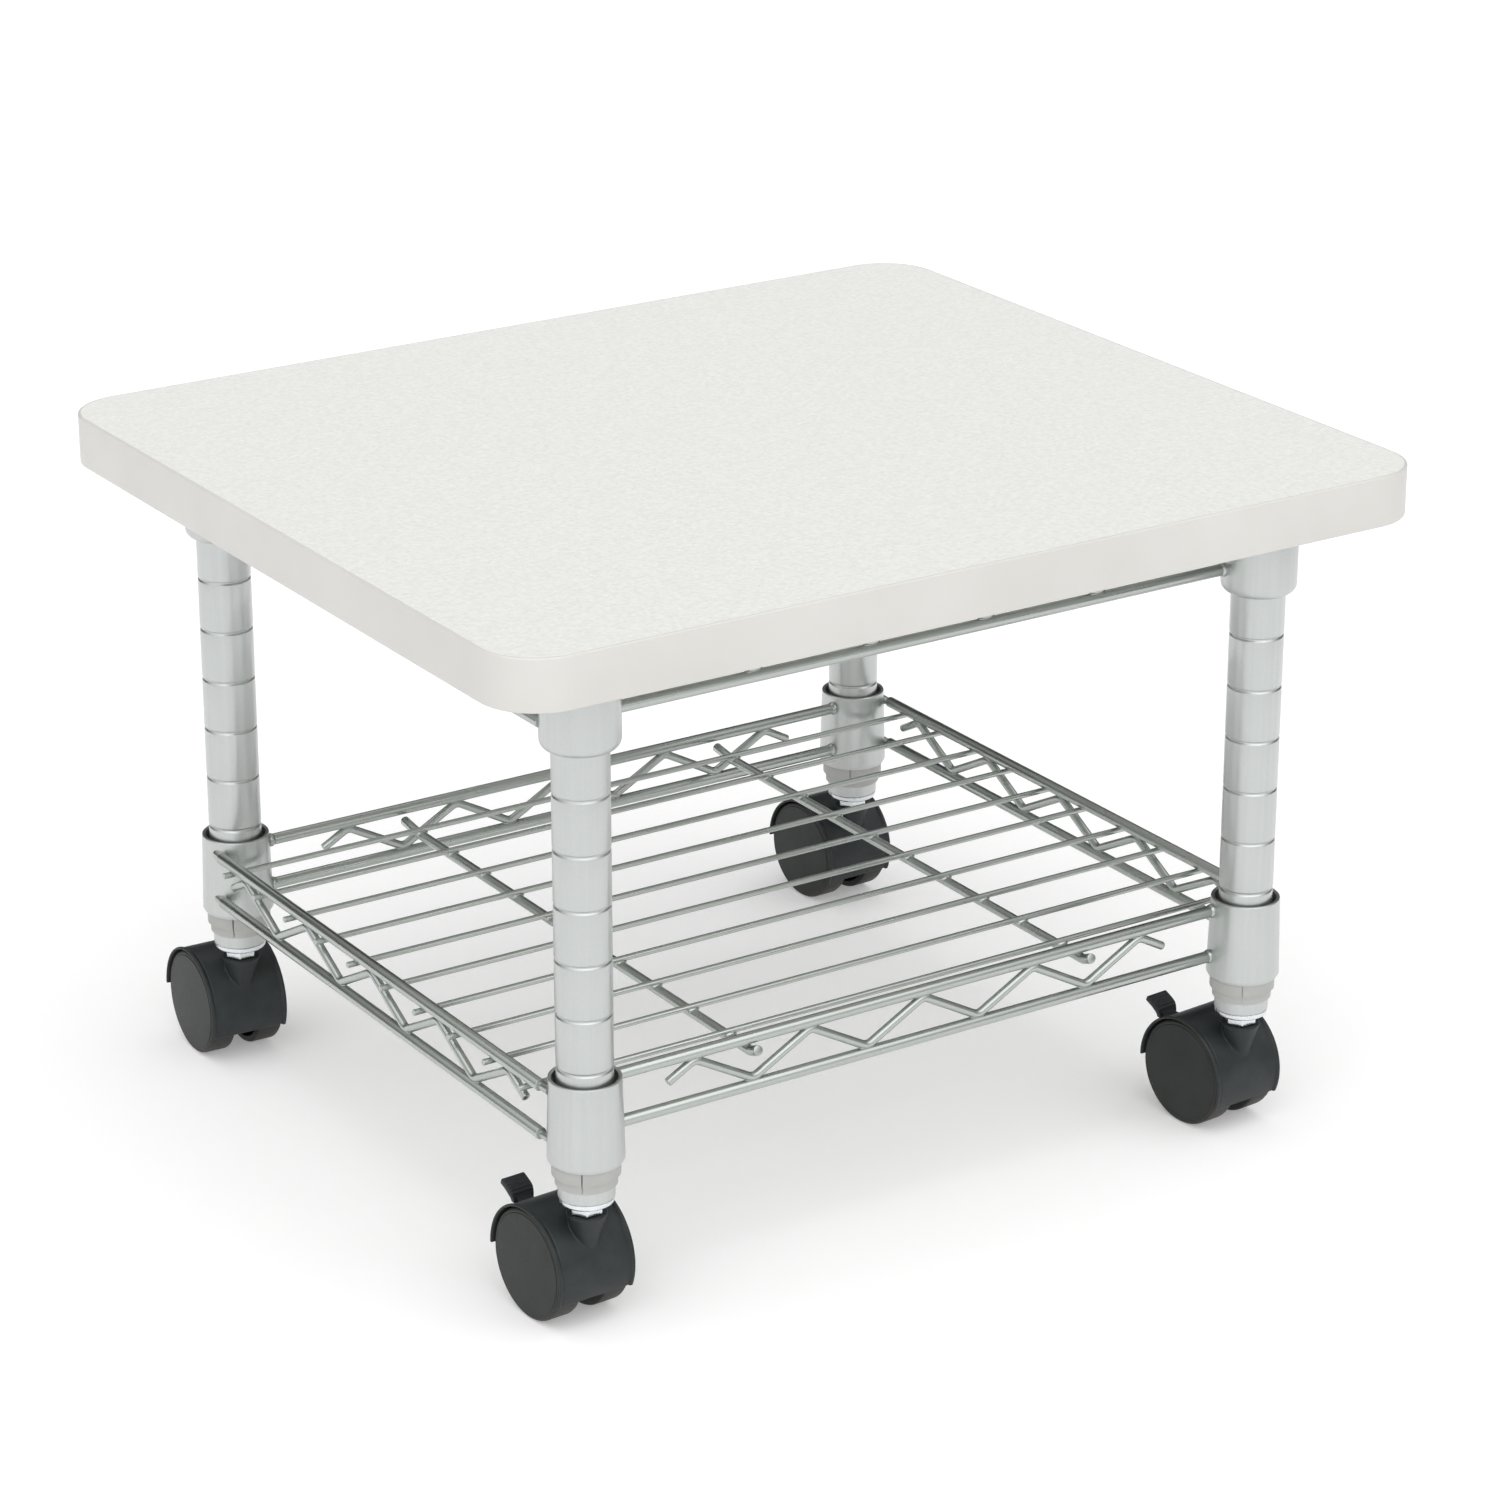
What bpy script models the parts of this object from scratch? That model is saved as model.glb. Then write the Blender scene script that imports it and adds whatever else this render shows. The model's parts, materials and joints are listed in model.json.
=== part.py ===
"""Mobile printer stand: a laminated top on a wire frame, four grooved posts,
a wire shelf held by split sleeves, and four twin-wheel casters.

Metres, +Z up. The origin is on the floor, under the middle of the top.
+X runs along the front edge, +Y towards the back.
"""

import math

import bmesh
import bpy
from mathutils import Matrix, Vector

# ---- Driving dimensions --------------------------------------------------

CLEARANCE = 0.0003          # gap between pieces that touch
ROUND_SEGMENTS = 16         # sides of everything that is turned about a post
SMALL_SEGMENTS = 12         # sides of screws, trunnions, sockets and their holes
WELD_SINK = 0.0009          # how far welded wires run into each other

TOP_WIDTH = 0.4826
TOP_DEPTH = 0.4254
TOP_THICKNESS = 0.0240
TOP_CORNER_RADIUS = 0.0280
LAMINATE_THICKNESS = 0.0010
EDGE_BAND_THICKNESS = 0.0012
OVERALL_HEIGHT = 0.3350

POST_INSET_X = 0.0595       # from the top's side edge to the post's axis
POST_INSET_Y = 0.0479       # from the top's front edge to the post's axis
POST_RADIUS = 0.0127
POST_WALL = 0.0015
GROOVE_PITCH = 0.0254
GROOVE_WIDTH = 0.0016
GROOVE_DEPTH = 0.0006
LOWEST_GROOVE_RISE = 0.0367  # from the post's lower end to its lowest groove

RAIL_RADIUS = 0.0028
SNAKE_RADIUS = 0.00205
DECK_WIRE_RADIUS = 0.00145
CROSS_ROD_RADIUS = 0.0024
RAIL_SPACING = 0.0232       # height between a shelf side's two rails
END_RAIL_INSET = 0.0050     # from the post's axis in to the front and rear rails
SNAKE_PEAKS = 5
SNAKE_BEND_RADIUS = 0.0052
SNAKE_TAIL = 0.23           # share of a wave that runs on past the outer peaks
END_SNAKE_INSET = 0.0591    # from the post's axis to the outer peak, front and rear
SIDE_SNAKE_INSET = 0.0400   # the same, left and right
DECK_WIRE_COUNT = 10
DECK_WIRE_INSET = 0.0190    # from the front rail's axis to the first deck wire
DECK_WIRE_OVERHANG = 0.0020  # past the side rail's outer face
ROD_RISE_LENGTH = 0.0140    # where a cross rod climbs to the rear rail
ROD_REAR_GAP = 0.0020       # from the rod's rear end to the rear rail's axis
ROD_NOSE = 0.0016           # past the front rail's outer face
ROD_BEND_RADIUS = 0.0080

COLLAR_HEIGHT = 0.0400
COLLAR_RISE = 0.0170        # from the post's lower end to the collar's foot
COLLAR_TAPER = 0.0011       # how much wider the collar's radius is at its foot
COLLAR_WALL = 0.0018
COLLAR_CHAMFER_HEIGHT = 0.0016
COLLAR_CHAMFER_DEPTH = 0.0010
TOP_RAIL_BELOW_RIM = 0.0063
SLEEVE_BELOW_COLLAR = 0.0078
SLEEVE_TOP_BELOW_RIM = 0.0095
SLEEVE_FOOT_WALL = 0.0023
SLEEVE_LIP_HEIGHT = 0.0032
SLEEVE_LIP_WALL = 0.0009
SLEEVE_SPLIT = 0.0006
SLEEVE_SPLIT_TURN = -38.0   # degrees from +Y to the line between the halves
RIB_REACH = 0.0005          # how far a sleeve's rib stands in from its bore

HEAD_COLLAR_WALL = 0.0046
HEAD_COLLAR_HEIGHT = 0.0377
HEAD_COLLAR_ROOF = 0.0030
HEAD_RAIL_SPACING = 0.0232
TAB_WIDTH = 0.0180
TAB_REACH = 0.0180
TAB_THICKNESS = 0.0015
TAB_SPACING = 0.1870        # between the two tabs on one side rail
TAB_HOLE_INSET = 0.0126     # from the rail's axis to the screw's axis
SCREW_SHANK_RADIUS = 0.0018
SCREW_HEAD_RADIUS = 0.0042
SCREW_HEAD_HEIGHT = 0.0026
SCREW_GRIP = 0.0130         # length that runs up into the board

WHEEL_RADIUS = 0.0261
WHEEL_OUTER_FACE = 0.0200   # from the caster's middle plane
WHEEL_SIDE_GAP = 0.0014     # between the wheel and the hood's middle web
WHEEL_RIM_WALL = 0.0026
WHEEL_DISC_WALL = 0.0022
WHEEL_HUB_RADIUS = 0.0055
WHEEL_EDGE_ROUND = 0.0016
WHEEL_SEGMENTS = 20
AXLE_RADIUS = 0.0025
AXLE_END_DEPTH = 0.0040     # from the wheel's outer face in to the axle's end
CASTER_TRAIL = 0.0198       # from the stem's axis back to the axle
HOOD_WALL = 0.0014
HOOD_OVER_WHEEL = 0.0005
HOOD_REAR_ANGLE = 0.0       # degrees up from the rear horizontal
HOOD_FRONT_ANGLE = 204.0
HOOD_STEPS = 18             # flats round the hood's shell
WEB_HALF_WIDTH = 0.0052
WEB_FOOT_RADIUS = 0.0075    # the web's rounded foot below the axle
BOSS_TOP_RADIUS = 0.0093
BOSS_TIP_RADIUS = 0.0042
BOSS_HEIGHT = 0.0205
BOSS_RISE = 0.0009          # above the top of the hood
STEM_HEX_ACROSS_FLATS = 0.0135
STEM_HEX_HEIGHT = 0.0046
STEM_THREAD_RADIUS = 0.0040
STEM_THREAD_LENGTH = 0.0160
STEM_PIN_RADIUS = 0.0034
STEM_PIN_LENGTH = 0.0180
INSERT_FLANGE_HEIGHT = 0.0030
INSERT_PLUG_LENGTH = 0.0200
LEVER_PIVOT_DEPTH = 0.0060  # from the hood's outside in to the lever's pivot
LEVER_PIVOT_ANGLE = 40.0
LEVER_SLOT_RADIUS = 0.0045
LEVER_SLOT_ANGLES = (12.0, 42.0)
LEVER_HUB_RADIUS = 0.0030
LEVER_HUB_HALF_WIDTH = 0.0032
LEVER_TRUNNION_RADIUS = 0.0015
LEVER_TAB_HALF_WIDTH = 0.0062
LEVER_TAB_LENGTH = 0.0135
LEVER_TAB_TILT = 47.0
LEVER_THICKNESS = 0.0028
LEVER_ARM_REACH = 0.0140

# A caster's turn about its stem, in degrees, and whether it has a brake.
CASTERS = {
    "front_left": (-1, -1, 3.2, True),
    "front_right": (1, -1, 4.4, True),
    "rear_left": (-1, 1, -2.3, False),
    "rear_right": (1, 1, 2.2, False),
}

# ---- Levels and places that follow from them -----------------------------

POST_X = TOP_WIDTH / 2 - POST_INSET_X
POST_Y = TOP_DEPTH / 2 - POST_INSET_Y
TOP_UNDERSIDE = OVERALL_HEIGHT - TOP_THICKNESS
HOOD_INNER_RADIUS = WHEEL_RADIUS + HOOD_OVER_WHEEL
HOOD_OUTER_RADIUS = HOOD_INNER_RADIUS + HOOD_WALL
HOOD_HALF_WIDTH = WHEEL_OUTER_FACE + CLEARANCE
WHEEL_INNER_FACE = WEB_HALF_WIDTH + WHEEL_SIDE_GAP
AXLE_HALF_LENGTH = WHEEL_OUTER_FACE - AXLE_END_DEPTH
BOSS_TOP = WHEEL_RADIUS + HOOD_OUTER_RADIUS + BOSS_RISE
STEM_HEX_FOOT = BOSS_TOP + CLEARANCE
INSERT_FLANGE_FOOT = STEM_HEX_FOOT + STEM_HEX_HEIGHT + CLEARANCE
POST_FOOT = INSERT_FLANGE_FOOT + INSERT_FLANGE_HEIGHT + CLEARANCE
HEAD_COLLAR_TOP = TOP_UNDERSIDE - CLEARANCE
HEAD_COLLAR_FOOT = HEAD_COLLAR_TOP - HEAD_COLLAR_HEIGHT
HEAD_COLLAR_RADIUS = POST_RADIUS + CLEARANCE + HEAD_COLLAR_WALL
POST_HEAD = HEAD_COLLAR_TOP - HEAD_COLLAR_ROOF - CLEARANCE
LOWEST_GROOVE = POST_FOOT + LOWEST_GROOVE_RISE
GROOVE_COUNT = int((HEAD_COLLAR_FOOT - GROOVE_WIDTH - LOWEST_GROOVE) / GROOVE_PITCH) + 1
HEAD_TOP_RAIL = HEAD_COLLAR_TOP - RAIL_RADIUS
SLEEVE_BORE = POST_RADIUS + CLEARANCE
COLLAR_BASE_RADIUS = SLEEVE_BORE + SLEEVE_FOOT_WALL + CLEARANCE + COLLAR_WALL
COLLAR_TOP_RADIUS = COLLAR_BASE_RADIUS - COLLAR_TAPER
COLLAR_FOOT = POST_FOOT + COLLAR_RISE
COLLAR_RIM = COLLAR_FOOT + COLLAR_HEIGHT
SHELF_TOP_RAIL = COLLAR_RIM - TOP_RAIL_BELOW_RIM
SIDE_RAIL_OUTSET = COLLAR_BASE_RADIUS - RAIL_RADIUS
SIDE_RAIL_X = POST_X + SIDE_RAIL_OUTSET
END_RAIL_Y = POST_Y - END_RAIL_INSET
END_SNAKE_SPAN = POST_X - END_SNAKE_INSET
SIDE_SNAKE_SPAN = POST_Y - SIDE_SNAKE_INSET
DECK_WIRE_Z = SHELF_TOP_RAIL - RAIL_RADIUS - DECK_WIRE_RADIUS - CLEARANCE
CROSS_ROD_Z = DECK_WIRE_Z - DECK_WIRE_RADIUS - CROSS_ROD_RADIUS + WELD_SINK
DECK_WIRE_PITCH = 2 * (END_RAIL_Y - DECK_WIRE_INSET) / (DECK_WIRE_COUNT - 1)
SLEEVE_FOOT = COLLAR_FOOT - SLEEVE_BELOW_COLLAR - SLEEVE_LIP_HEIGHT
SCREW_X = SIDE_RAIL_X - TAB_HOLE_INSET
SCREW_Y = TAB_SPACING / 2


# ---- Building helpers ----------------------------------------------------

def clear_scene():
    for thing in list(bpy.data.objects):
        bpy.data.objects.remove(thing, do_unlink=True)


def new_collection(name):
    made = bpy.data.collections.new(name)
    bpy.context.scene.collection.children.link(made)
    return made


def new_material(name, color, roughness, metallic):
    made = bpy.data.materials.new(name)
    made.use_nodes = True
    shader = made.node_tree.nodes["Principled BSDF"]
    shader.inputs["Base Color"].default_value = (*color, 1.0)
    shader.inputs["Roughness"].default_value = roughness
    shader.inputs["Metallic"].default_value = metallic
    return made


def new_object(name, data, collection, material=None):
    made = bpy.data.objects.new(name, data)
    collection.objects.link(made)
    if material is not None:
        data.materials.append(material)
    return made


def mark_cutter(thing):
    thing.hide_render = True
    thing.display_type = "WIRE"
    return thing


def smooth(mesh):
    mesh.shade_smooth()
    mesh.set_sharp_from_angle(angle=math.radians(35))


def turned(name, profile, collection, material=None, segments=ROUND_SEGMENTS):
    """A profile of (radius, height) turned about Z, listed down its outer side."""
    mesh = bpy.data.meshes.new(name)
    closed = profile[0][0] > 0
    edges = [(i, i + 1) for i in range(len(profile) - 1)]
    if closed:
        edges.append((len(profile) - 1, 0))
    mesh.from_pydata([(r, 0, z) for r, z in profile], edges, [])
    made = new_object(name, mesh, collection, material)
    screw = made.modifiers.new("turn", "SCREW")
    screw.angle = math.tau
    screw.steps = segments
    screw.render_steps = segments
    screw.use_merge_vertices = True
    screw.merge_threshold = 0.00001
    screw.use_smooth_shade = True
    return made


def as_mesh(thing):
    """Swaps a curve or an object with modifiers for a plain welded mesh object."""
    bpy.context.view_layer.update()
    graph = bpy.context.evaluated_depsgraph_get()
    mesh = bpy.data.meshes.new_from_object(thing.evaluated_get(graph))
    welder = bmesh.new()
    welder.from_mesh(mesh)
    bmesh.ops.remove_doubles(welder, verts=welder.verts, dist=0.000001)
    bmesh.ops.recalc_face_normals(welder, faces=welder.faces)
    welder.to_mesh(mesh)
    welder.free()
    smooth(mesh)
    name = thing.name
    world = thing.matrix_world.copy()
    collection = thing.users_collection[0]
    bpy.data.objects.remove(thing)
    made = new_object(name, mesh, collection)
    made.matrix_world = world
    return made


def wire(name, points, radius, collection, material=None):
    """A round wire along the points, as a six-sided mesh with welded caps."""
    curve = bpy.data.curves.new(name, "CURVE")
    curve.dimensions = "3D"
    curve.bevel_depth = radius
    curve.bevel_resolution = 1
    curve.use_fill_caps = True
    spline = curve.splines.new("POLY")
    spline.points.add(len(points) - 1)
    for point, place in zip(spline.points, points):
        point.co = (*place, 1.0)
    return as_mesh(new_object(name, curve, collection, material))


def plate(name, outlines, thickness, collection, material=None):
    """Flat outlines in XY, extruded evenly about Z = 0. A second outline is a hole."""
    curve = bpy.data.curves.new(name, "CURVE")
    curve.dimensions = "2D"
    curve.fill_mode = "BOTH"
    curve.extrude = thickness / 2
    for outline in outlines:
        spline = curve.splines.new("POLY")
        spline.use_cyclic_u = True
        spline.points.add(len(outline) - 1)
        for point, place in zip(spline.points, outline):
            point.co = (*place, 0.0, 1.0)
    return as_mesh(new_object(name, curve, collection, material))


def side_plate(name, outlines, low_x, high_x, collection, material=None):
    """Outlines in YZ, extruded along X from low_x to high_x."""
    made = plate(name, outlines, high_x - low_x, collection, material)
    stand_up = Matrix(((0, 0, 1, 0), (1, 0, 0, 0), (0, 1, 0, 0), (0, 0, 0, 1)))
    made.data.transform(Matrix.Translation(((low_x + high_x) / 2, 0, 0)) @ stand_up)
    return made


def boolean(target, other, operation):
    join = target.modifiers.new(operation.lower() + "_" + other.name, "BOOLEAN")
    join.operation = operation
    join.object = other
    join.solver = "EXACT"


def cut(target, cutter, location):
    cutter.location = location
    boolean(target, mark_cutter(cutter), "DIFFERENCE")


def weld_together(name, pieces):
    """One body from wires that run into each other."""
    first = pieces[0]
    for other in pieces[1:]:
        boolean(first, other, "UNION")
    made = as_mesh(first)
    for other in pieces[1:]:
        bpy.data.objects.remove(other)
    made.name = name
    return made


def arc(centre, radius, start, end, steps):
    """Points round a centre, with the angles in degrees."""
    points = []
    for step in range(steps + 1):
        angle = math.radians(start + (end - start) * step / steps)
        points.append((centre[0] + radius * math.cos(angle), centre[1] + radius * math.sin(angle)))
    return points


def round_hole(centre, radius, segments):
    return arc(centre, radius, 0, 360, segments)[:-1]


def rounded_rectangle(width, depth, radius):
    points = []
    for quarter, (sx, sy) in enumerate(((1, 1), (-1, 1), (-1, -1), (1, -1))):
        centre = (sx * (width / 2 - radius), sy * (depth / 2 - radius))
        points += arc(centre, radius, 90 * quarter, 90 * quarter + 90, 8)
    return points


def rounded_path(corners, radius, steps=2):
    """A path through the corners with each inner corner turned on an arc."""
    path = [Vector(corners[0])]
    for before, corner, after in zip(corners, corners[1:], corners[2:]):
        corner = Vector(corner)
        back = (Vector(before) - corner).normalized()
        ahead = (Vector(after) - corner).normalized()
        half = back.angle(ahead) / 2
        run = radius / math.tan(half)
        centre = corner + (back + ahead).normalized() * (radius / math.sin(half))
        start = corner + back * run - centre
        end = corner + ahead * run - centre
        axis = start.cross(end)
        sweep = start.angle(end)
        for step in range(steps + 1):
            path.append(centre + Matrix.Rotation(sweep * step / steps, 3, axis) @ start)
    path.append(Vector(corners[-1]))
    return path


# ---- Materials -----------------------------------------------------------

clear_scene()
STAND = new_collection("printer_stand")
CUTTERS = new_collection("cutters")

LAMINATE = new_material("laminate", (0.84, 0.84, 0.82), 0.55, 0.0)
EDGING = new_material("edging", (0.74, 0.73, 0.70), 0.45, 0.0)
BOARD = new_material("board", (0.52, 0.40, 0.27), 0.9, 0.0)
SILVER_PAINT = new_material("silver_paint", (0.60, 0.61, 0.61), 0.38, 0.7)
SLEEVE_PLASTIC = new_material("sleeve_plastic", (0.52, 0.52, 0.50), 0.5, 0.0)
ZINC = new_material("zinc", (0.80, 0.82, 0.84), 0.25, 1.0)
BLACK_NYLON = new_material("black_nylon", (0.022, 0.024, 0.024), 0.55, 0.0)
STEEL = new_material("steel", (0.56, 0.56, 0.57), 0.3, 1.0)


# ---- The top: a board, a laminate sheet and an edge band ------------------

def screw_places():
    return [(sx, sy) for sx in (-1, 1) for sy in (-1, 1)]


def make_top():
    band_gap = EDGE_BAND_THICKNESS + CLEARANCE
    inner = (TOP_WIDTH - 2 * band_gap, TOP_DEPTH - 2 * band_gap, TOP_CORNER_RADIUS - band_gap)
    board_top = OVERALL_HEIGHT - LAMINATE_THICKNESS - CLEARANCE
    board = plate("top_board", [rounded_rectangle(*inner)], board_top - TOP_UNDERSIDE, STAND, BOARD)
    board.location.z = (board_top + TOP_UNDERSIDE) / 2
    pilot_depth = SCREW_GRIP + CLEARANCE
    for number, (sx, sy) in enumerate(screw_places()):
        pilot = turned(f"pilot_{number}", [
            (0, pilot_depth),
            (SCREW_SHANK_RADIUS + CLEARANCE, pilot_depth),
            (SCREW_SHANK_RADIUS + CLEARANCE, -TAB_THICKNESS),
            (0, -TAB_THICKNESS),
        ], CUTTERS, segments=SMALL_SEGMENTS)
        cut(board, pilot, (sx * SCREW_X, sy * SCREW_Y, TOP_UNDERSIDE))

    sheet = plate("top_laminate", [rounded_rectangle(*inner)], LAMINATE_THICKNESS, STAND, LAMINATE)
    sheet.location.z = OVERALL_HEIGHT - LAMINATE_THICKNESS / 2

    outline = rounded_rectangle(TOP_WIDTH, TOP_DEPTH, TOP_CORNER_RADIUS)
    band_hole = rounded_rectangle(
        TOP_WIDTH - 2 * EDGE_BAND_THICKNESS,
        TOP_DEPTH - 2 * EDGE_BAND_THICKNESS,
        TOP_CORNER_RADIUS - EDGE_BAND_THICKNESS,
    )
    band = plate("edge_band", [outline, band_hole], TOP_THICKNESS, STAND, EDGING)
    band.location.z = OVERALL_HEIGHT - TOP_THICKNESS / 2


def make_screws():
    """Pan-head screws from under the frame's tabs up into the board."""
    tab_foot = HEAD_COLLAR_TOP - TAB_THICKNESS
    head_top = tab_foot - CLEARANCE
    for sx, sy in screw_places():
        side = "left" if sx < 0 else "right"
        end = "front" if sy < 0 else "rear"
        screw = turned(f"top_screw_{end}_{side}", [
            (0, TOP_UNDERSIDE + SCREW_GRIP),
            (SCREW_SHANK_RADIUS, TOP_UNDERSIDE + SCREW_GRIP - SCREW_SHANK_RADIUS),
            (SCREW_SHANK_RADIUS, head_top),
            (SCREW_HEAD_RADIUS, head_top),
            (SCREW_HEAD_RADIUS * 0.9, head_top - SCREW_HEAD_HEIGHT * 0.6),
            (SCREW_HEAD_RADIUS * 0.5, head_top - SCREW_HEAD_HEIGHT),
            (0, head_top - SCREW_HEAD_HEIGHT),
        ], STAND, ZINC, segments=SMALL_SEGMENTS)
        screw.location = (sx * SCREW_X, sy * SCREW_Y, 0)


# ---- Wire sides: two rails with a snake wire between them ------------------

def snake_wave(half_span):
    """From one peak to the next."""
    return 2 * half_span / (SNAKE_PEAKS - 1)


def bend_round_off(half_wave, rise):
    """How far a bend's arc stops short of its corner, when the arcs are rise apart.

    The corners stand rise + 2 * round_off apart, and the slope between them sets
    the round-off again, which makes a quadratic.
    """
    square = (half_wave / SNAKE_BEND_RADIUS) ** 2 - 4
    linear = 2 * half_wave ** 2 / SNAKE_BEND_RADIUS - 4 * rise
    return (math.sqrt(linear ** 2 + 4 * square * rise ** 2) - linear) / (2 * square)


def snake_points(half_span, top_z, foot_z, place):
    """The snake's corners from one cut end to the other; place maps (along, z) to XYZ."""
    wave = snake_wave(half_span)
    touch = RAIL_RADIUS + SNAKE_RADIUS - WELD_SINK
    round_off = bend_round_off(wave / 2, top_z - foot_z - 2 * touch)
    high = top_z - touch + round_off
    low = foot_z + touch - round_off
    tail = wave * SNAKE_TAIL
    tail_z = high - (high - low) * SNAKE_TAIL * 2
    corners = [place(-half_span - tail, tail_z)]
    for peak in range(SNAKE_PEAKS):
        corners.append(place(-half_span + peak * wave, high))
        if peak < SNAKE_PEAKS - 1:
            corners.append(place(-half_span + (peak + 0.5) * wave, low))
    corners.append(place(half_span + tail, tail_z))
    return rounded_path(corners, SNAKE_BEND_RADIUS)


def truss(name, half_length, half_span, top_z, spacing, place):
    foot_z = top_z - spacing
    rails = []
    for level, z in (("upper", top_z), ("lower", foot_z)):
        ends = [place(-half_length, z), place(half_length, z)]
        rails.append(wire(f"{name}_{level}_rail", ends, RAIL_RADIUS, STAND, SILVER_PAINT))
    snake = wire(f"{name}_snake", snake_points(half_span, top_z, foot_z, place),
                 SNAKE_RADIUS, STAND, SILVER_PAINT)
    return weld_together(name, [rails[0], snake, rails[1]])


def along_x(y):
    """Places for a truss that runs left to right at depth y."""
    return lambda along, z: (along, y, z)


def along_y(x):
    """Places for a truss that runs front to rear at width x."""
    return lambda along, z: (x, along, z)


def end_rail_half_length(collar_radius):
    return POST_X - collar_radius - CLEARANCE


def side_rail_half_length(round_radius):
    """Ends where the whole rail stands clear of a round on the post's axis."""
    reach = SIDE_RAIL_OUTSET - RAIL_RADIUS
    half_chord_squared = (round_radius + CLEARANCE) ** 2 - reach ** 2
    return POST_Y - math.sqrt(max(half_chord_squared, 0.0))


# ---- The head frame that carries the top -----------------------------------

def head_collar(name, sx, sy):
    """A thick collar with a roof; its round shoulder closes in on the post."""
    bore = POST_RADIUS + CLEARANCE
    shoulder = arc((bore, HEAD_COLLAR_FOOT + HEAD_COLLAR_WALL), HEAD_COLLAR_WALL, 0, -75, 2)
    roof_foot = HEAD_COLLAR_TOP - HEAD_COLLAR_ROOF
    profile = [(0, HEAD_COLLAR_TOP), (HEAD_COLLAR_RADIUS, HEAD_COLLAR_TOP)]
    profile += shoulder
    profile += [(bore, HEAD_COLLAR_FOOT), (bore, roof_foot), (0, roof_foot)]
    made = turned(name, profile, STAND, SILVER_PAINT)
    made.location = (sx * POST_X, sy * POST_Y, 0)
    return as_mesh(made)


def make_head_frame():
    for side, sx in (("left", -1), ("right", 1)):
        rail_x = sx * SIDE_RAIL_X
        half_length = side_rail_half_length(POST_RADIUS + WELD_SINK)
        pieces = [truss(f"side_{side}", half_length, SIDE_SNAKE_SPAN, HEAD_TOP_RAIL,
                        HEAD_RAIL_SPACING, along_y(rail_x))]
        for end, sy in (("front", -1), ("rear", 1)):
            pieces.append(head_collar(f"head_collar_{end}_{side}", sx, sy))
            hole = round_hole((sx * SCREW_X, 0), SCREW_SHANK_RADIUS + CLEARANCE, SMALL_SEGMENTS)
            outline = [
                (rail_x, -TAB_WIDTH / 2), (rail_x - sx * TAB_REACH, -TAB_WIDTH / 2),
                (rail_x - sx * TAB_REACH, TAB_WIDTH / 2), (rail_x, TAB_WIDTH / 2),
            ]
            tab = plate(f"tab_{end}_{side}", [outline, hole], TAB_THICKNESS, STAND, SILVER_PAINT)
            centre_z = HEAD_COLLAR_TOP - TAB_THICKNESS / 2
            tab.data.transform(Matrix.Translation((0, sy * SCREW_Y, centre_z)))
            pieces.append(tab)
        weld_together(f"head_frame_{side}", pieces)
    for end, sy in (("front", -1), ("rear", 1)):
        truss(f"head_frame_{end}", end_rail_half_length(HEAD_COLLAR_RADIUS), END_SNAKE_SPAN,
              HEAD_TOP_RAIL, HEAD_RAIL_SPACING, along_x(sy * END_RAIL_Y))


# ---- Posts, split sleeves and shelf collars --------------------------------

def groove_levels():
    return [LOWEST_GROOVE + number * GROOVE_PITCH for number in range(GROOVE_COUNT)]


def make_post(name, x, y):
    outer = [(POST_RADIUS, POST_HEAD)]
    for level in reversed(groove_levels()):
        outer.append((POST_RADIUS, level + GROOVE_WIDTH / 2))
        outer.append((POST_RADIUS - GROOVE_DEPTH, level))
        outer.append((POST_RADIUS, level - GROOVE_WIDTH / 2))
    outer.append((POST_RADIUS, POST_FOOT))
    bore = POST_RADIUS - POST_WALL
    post = turned(name, outer + [(bore, POST_FOOT), (bore, POST_HEAD)], STAND, SILVER_PAINT)
    post.location = (x, y, 0)


def collar_radius_at(z):
    """The shelf collar's outer radius: a slow cone, wider at its foot."""
    return COLLAR_TOP_RADIUS + COLLAR_TAPER * (COLLAR_RIM - z) / COLLAR_HEIGHT


def make_collar(name, x, y):
    chamfer_top = COLLAR_FOOT + COLLAR_CHAMFER_HEIGHT
    profile = [
        (COLLAR_TOP_RADIUS, COLLAR_RIM),
        (collar_radius_at(chamfer_top), chamfer_top),
        (COLLAR_BASE_RADIUS - COLLAR_CHAMFER_DEPTH, COLLAR_FOOT),
        (COLLAR_BASE_RADIUS - COLLAR_WALL, COLLAR_FOOT),
        (COLLAR_TOP_RADIUS - COLLAR_WALL, COLLAR_RIM),
    ]
    collar = turned(name, profile, STAND, SILVER_PAINT)
    collar.location = (x, y, 0)


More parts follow.
